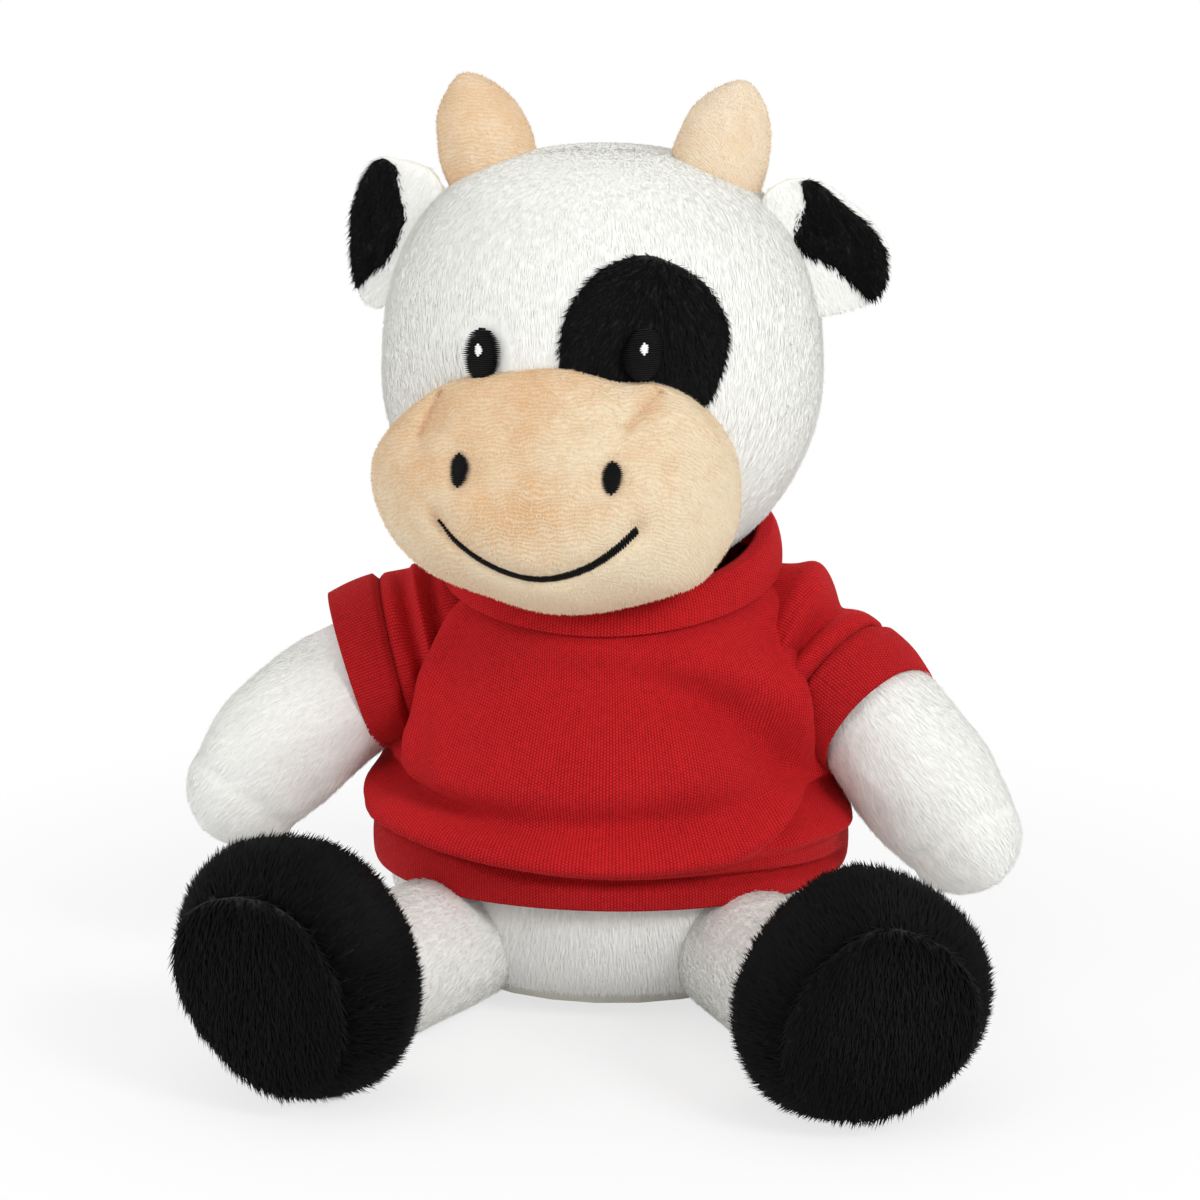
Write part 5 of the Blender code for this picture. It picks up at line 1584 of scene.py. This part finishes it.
print("tufts in all:", sum(len(pile.data.polygons) for pile, _, _ in piles) // 4)

# %% [markdown]
# ## What each piece rides on
# Every piece but the sleeves is given to the body that carries it and says which solids of the
# imported model it stands for. The sleeves cross the shoulder, so they are given to no body: their
# place is only fixed into their mesh.

# %% Ride and replace


def stands_for(piece, body, nodes):
    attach(piece, body)
    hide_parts(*nodes)


stands_for(head, "head", ["head_skin"])
stands_for(muzzle, "head", ["muzzle"])
stands_for(patch, "head", ["eye_patch"])
stands_for(torso, "torso", ["torso_skin"])
stands_for(neck, "neck_root", ["neck"])
stands_for(tail, "tail_root", ["tail"])
stands_for(tuft, "tail_root", ["tail_tuft"])
stands_for(smile, "head", ["smile"])
for _, name in SIDES:
    stands_for(arms[name], "arm_body_" + name, ["arm_" + name])
    stands_for(legs[name], "leg_body_" + name, ["leg_" + name])
    stands_for(feet[name], "leg_body_" + name, ["foot_" + name])
    stands_for(soles[name], "leg_body_" + name, ["sole_" + name])
    stands_for(horns[name], "head", ["horn_" + name])
    stands_for(ears[name], "ear_" + name, ["ear_back_" + name])
    stands_for(linings[name], "ear_" + name, ["ear_front_" + name])
    stands_for(eyes[name], "head", ["eye_" + name])
    stands_for(glints[name], "head", ["glint_" + name])
    stands_for(nostrils[name], "head", ["nostril_" + name])
    stands_for(cuffs[name], "arm_body_" + name, ["cuff_" + name])
    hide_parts("sleeve_" + name)
    hoops = SLEEVES[name]
    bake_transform(sleeves[name], "torso", "arm_body_" + name, start=tuple(Vector(hoops[1][0]) * MM),
             end=tuple(Vector(hoops[4][0]) * MM))
stands_for(shirt, "torso", ["shirt_front", "shirt_back"])
stands_for(hem, "torso", ["hem_band"])
stands_for(collar, "torso", ["neckband"])
for pile, body, colour in piles:
    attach(pile, body)

# %% [markdown]
# ## Studio
# A pale floor and soft light from large panels, as in a catalogue picture. The floor shows white to
# the camera and keeps its shadow. The panels are set so that a colour renders about as written.

# %% Floor
FADE_FROM, FADE_TO = 0.07, 0.2


def seen_directly(tree):
    """1 for rays from the camera, mirrors and glass, and 0 for the light that falls on things."""
    rays = add(tree, "ShaderNodeLightPath").outputs
    return math_node(tree, "MAXIMUM", rays["Is Camera Ray"],
                     math_node(tree, "MAXIMUM", rays["Is Glossy Ray"], rays["Is Transmission Ray"]))


floor_mesh = bpy.data.meshes.new("floor")
floor_mesh.from_pydata([(-3, -3, 0), (3, -3, 0), (3, 3, 0), (-3, 3, 0)], [], [(0, 1, 2, 3)])
floor = put_in_scene("floor", floor_mesh)
floor_paint, tree, shader = finish("floor_paint", "#fbfbfb", 0.9, specular=0.1)
distance = add(tree, "ShaderNodeVectorMath", {"operation": "LENGTH"}, {0: object_place(tree)})
fade = add(tree, "ShaderNodeMapRange", {"interpolation_type": "SMOOTHSTEP"},
           {"Value": distance.outputs["Value"], "From Min": FADE_FROM, "From Max": FADE_TO, "To Min": 0.7})
white = add(tree, "ShaderNodeEmission", inputs={"Color": (1, 1, 1, 1), "Strength": 1.0})
shown = math_node(tree, "MULTIPLY", fade.outputs[0], seen_directly(tree))
whole = add(tree, "ShaderNodeMixShader", inputs={0: shown, 1: shader.outputs[0], 2: white.outputs[0]})
tree.links.new(whole.outputs[0], tree.nodes["Material Output"].inputs["Surface"])
floor_mesh.materials.append(floor_paint)
print("floor is white from", FADE_TO, "m outwards")

# %% [markdown]
# ## Light
# Three square panels light the toy: a small one from the front left of the toy gives the folds
# their shadows, a wide one opposite softens them, and one overhead lifts the crown. The room adds
# an even light, and the camera sees a white backdrop instead of it.

# %% Light and world
PANELS = (
    # name, place in metres, size in metres, power in watts
    ("key_panel", (0.81, -0.76, 0.76), 0.4, 7.2), ("fill_panel", (-0.9, -0.7, 0.5), 0.9, 3.8),
    ("top_panel", (0.0, 0.1, 1.1), 0.8, 1.2))
LIT_SPOT = Vector((0, 0, 0.09))
ROOM_LIGHT = 0.56
for name, place, size, power in PANELS:
    light = bpy.data.lights.new(name, "AREA")
    light.shape = "RECTANGLE"
    light.size, light.size_y = size, size
    light.energy = power
    lamp = put_in_scene(name, light)
    lamp.location = place
    lamp.rotation_euler = (Vector(place) - LIT_SPOT).to_track_quat("Z", "Y").to_euler()
world = bpy.data.worlds.new("studio")
world.use_nodes = True
tree = world.node_tree
tree.nodes.clear()
backdrop = add(tree, "ShaderNodeBackground", inputs={"Color": (1, 1, 1, 1), "Strength": 1.0})
room = add(tree, "ShaderNodeBackground", inputs={"Color": (1, 1, 1, 1), "Strength": ROOM_LIGHT})
mix = add(tree, "ShaderNodeMixShader",
          inputs={0: seen_directly(tree), 1: room.outputs[0], 2: backdrop.outputs[0]})
add(tree, "ShaderNodeOutputWorld", inputs={"Surface": mix.outputs[0]})
bpy.context.scene.world = world
bpy.context.scene.view_settings.view_transform = "Standard"
print("studio ready")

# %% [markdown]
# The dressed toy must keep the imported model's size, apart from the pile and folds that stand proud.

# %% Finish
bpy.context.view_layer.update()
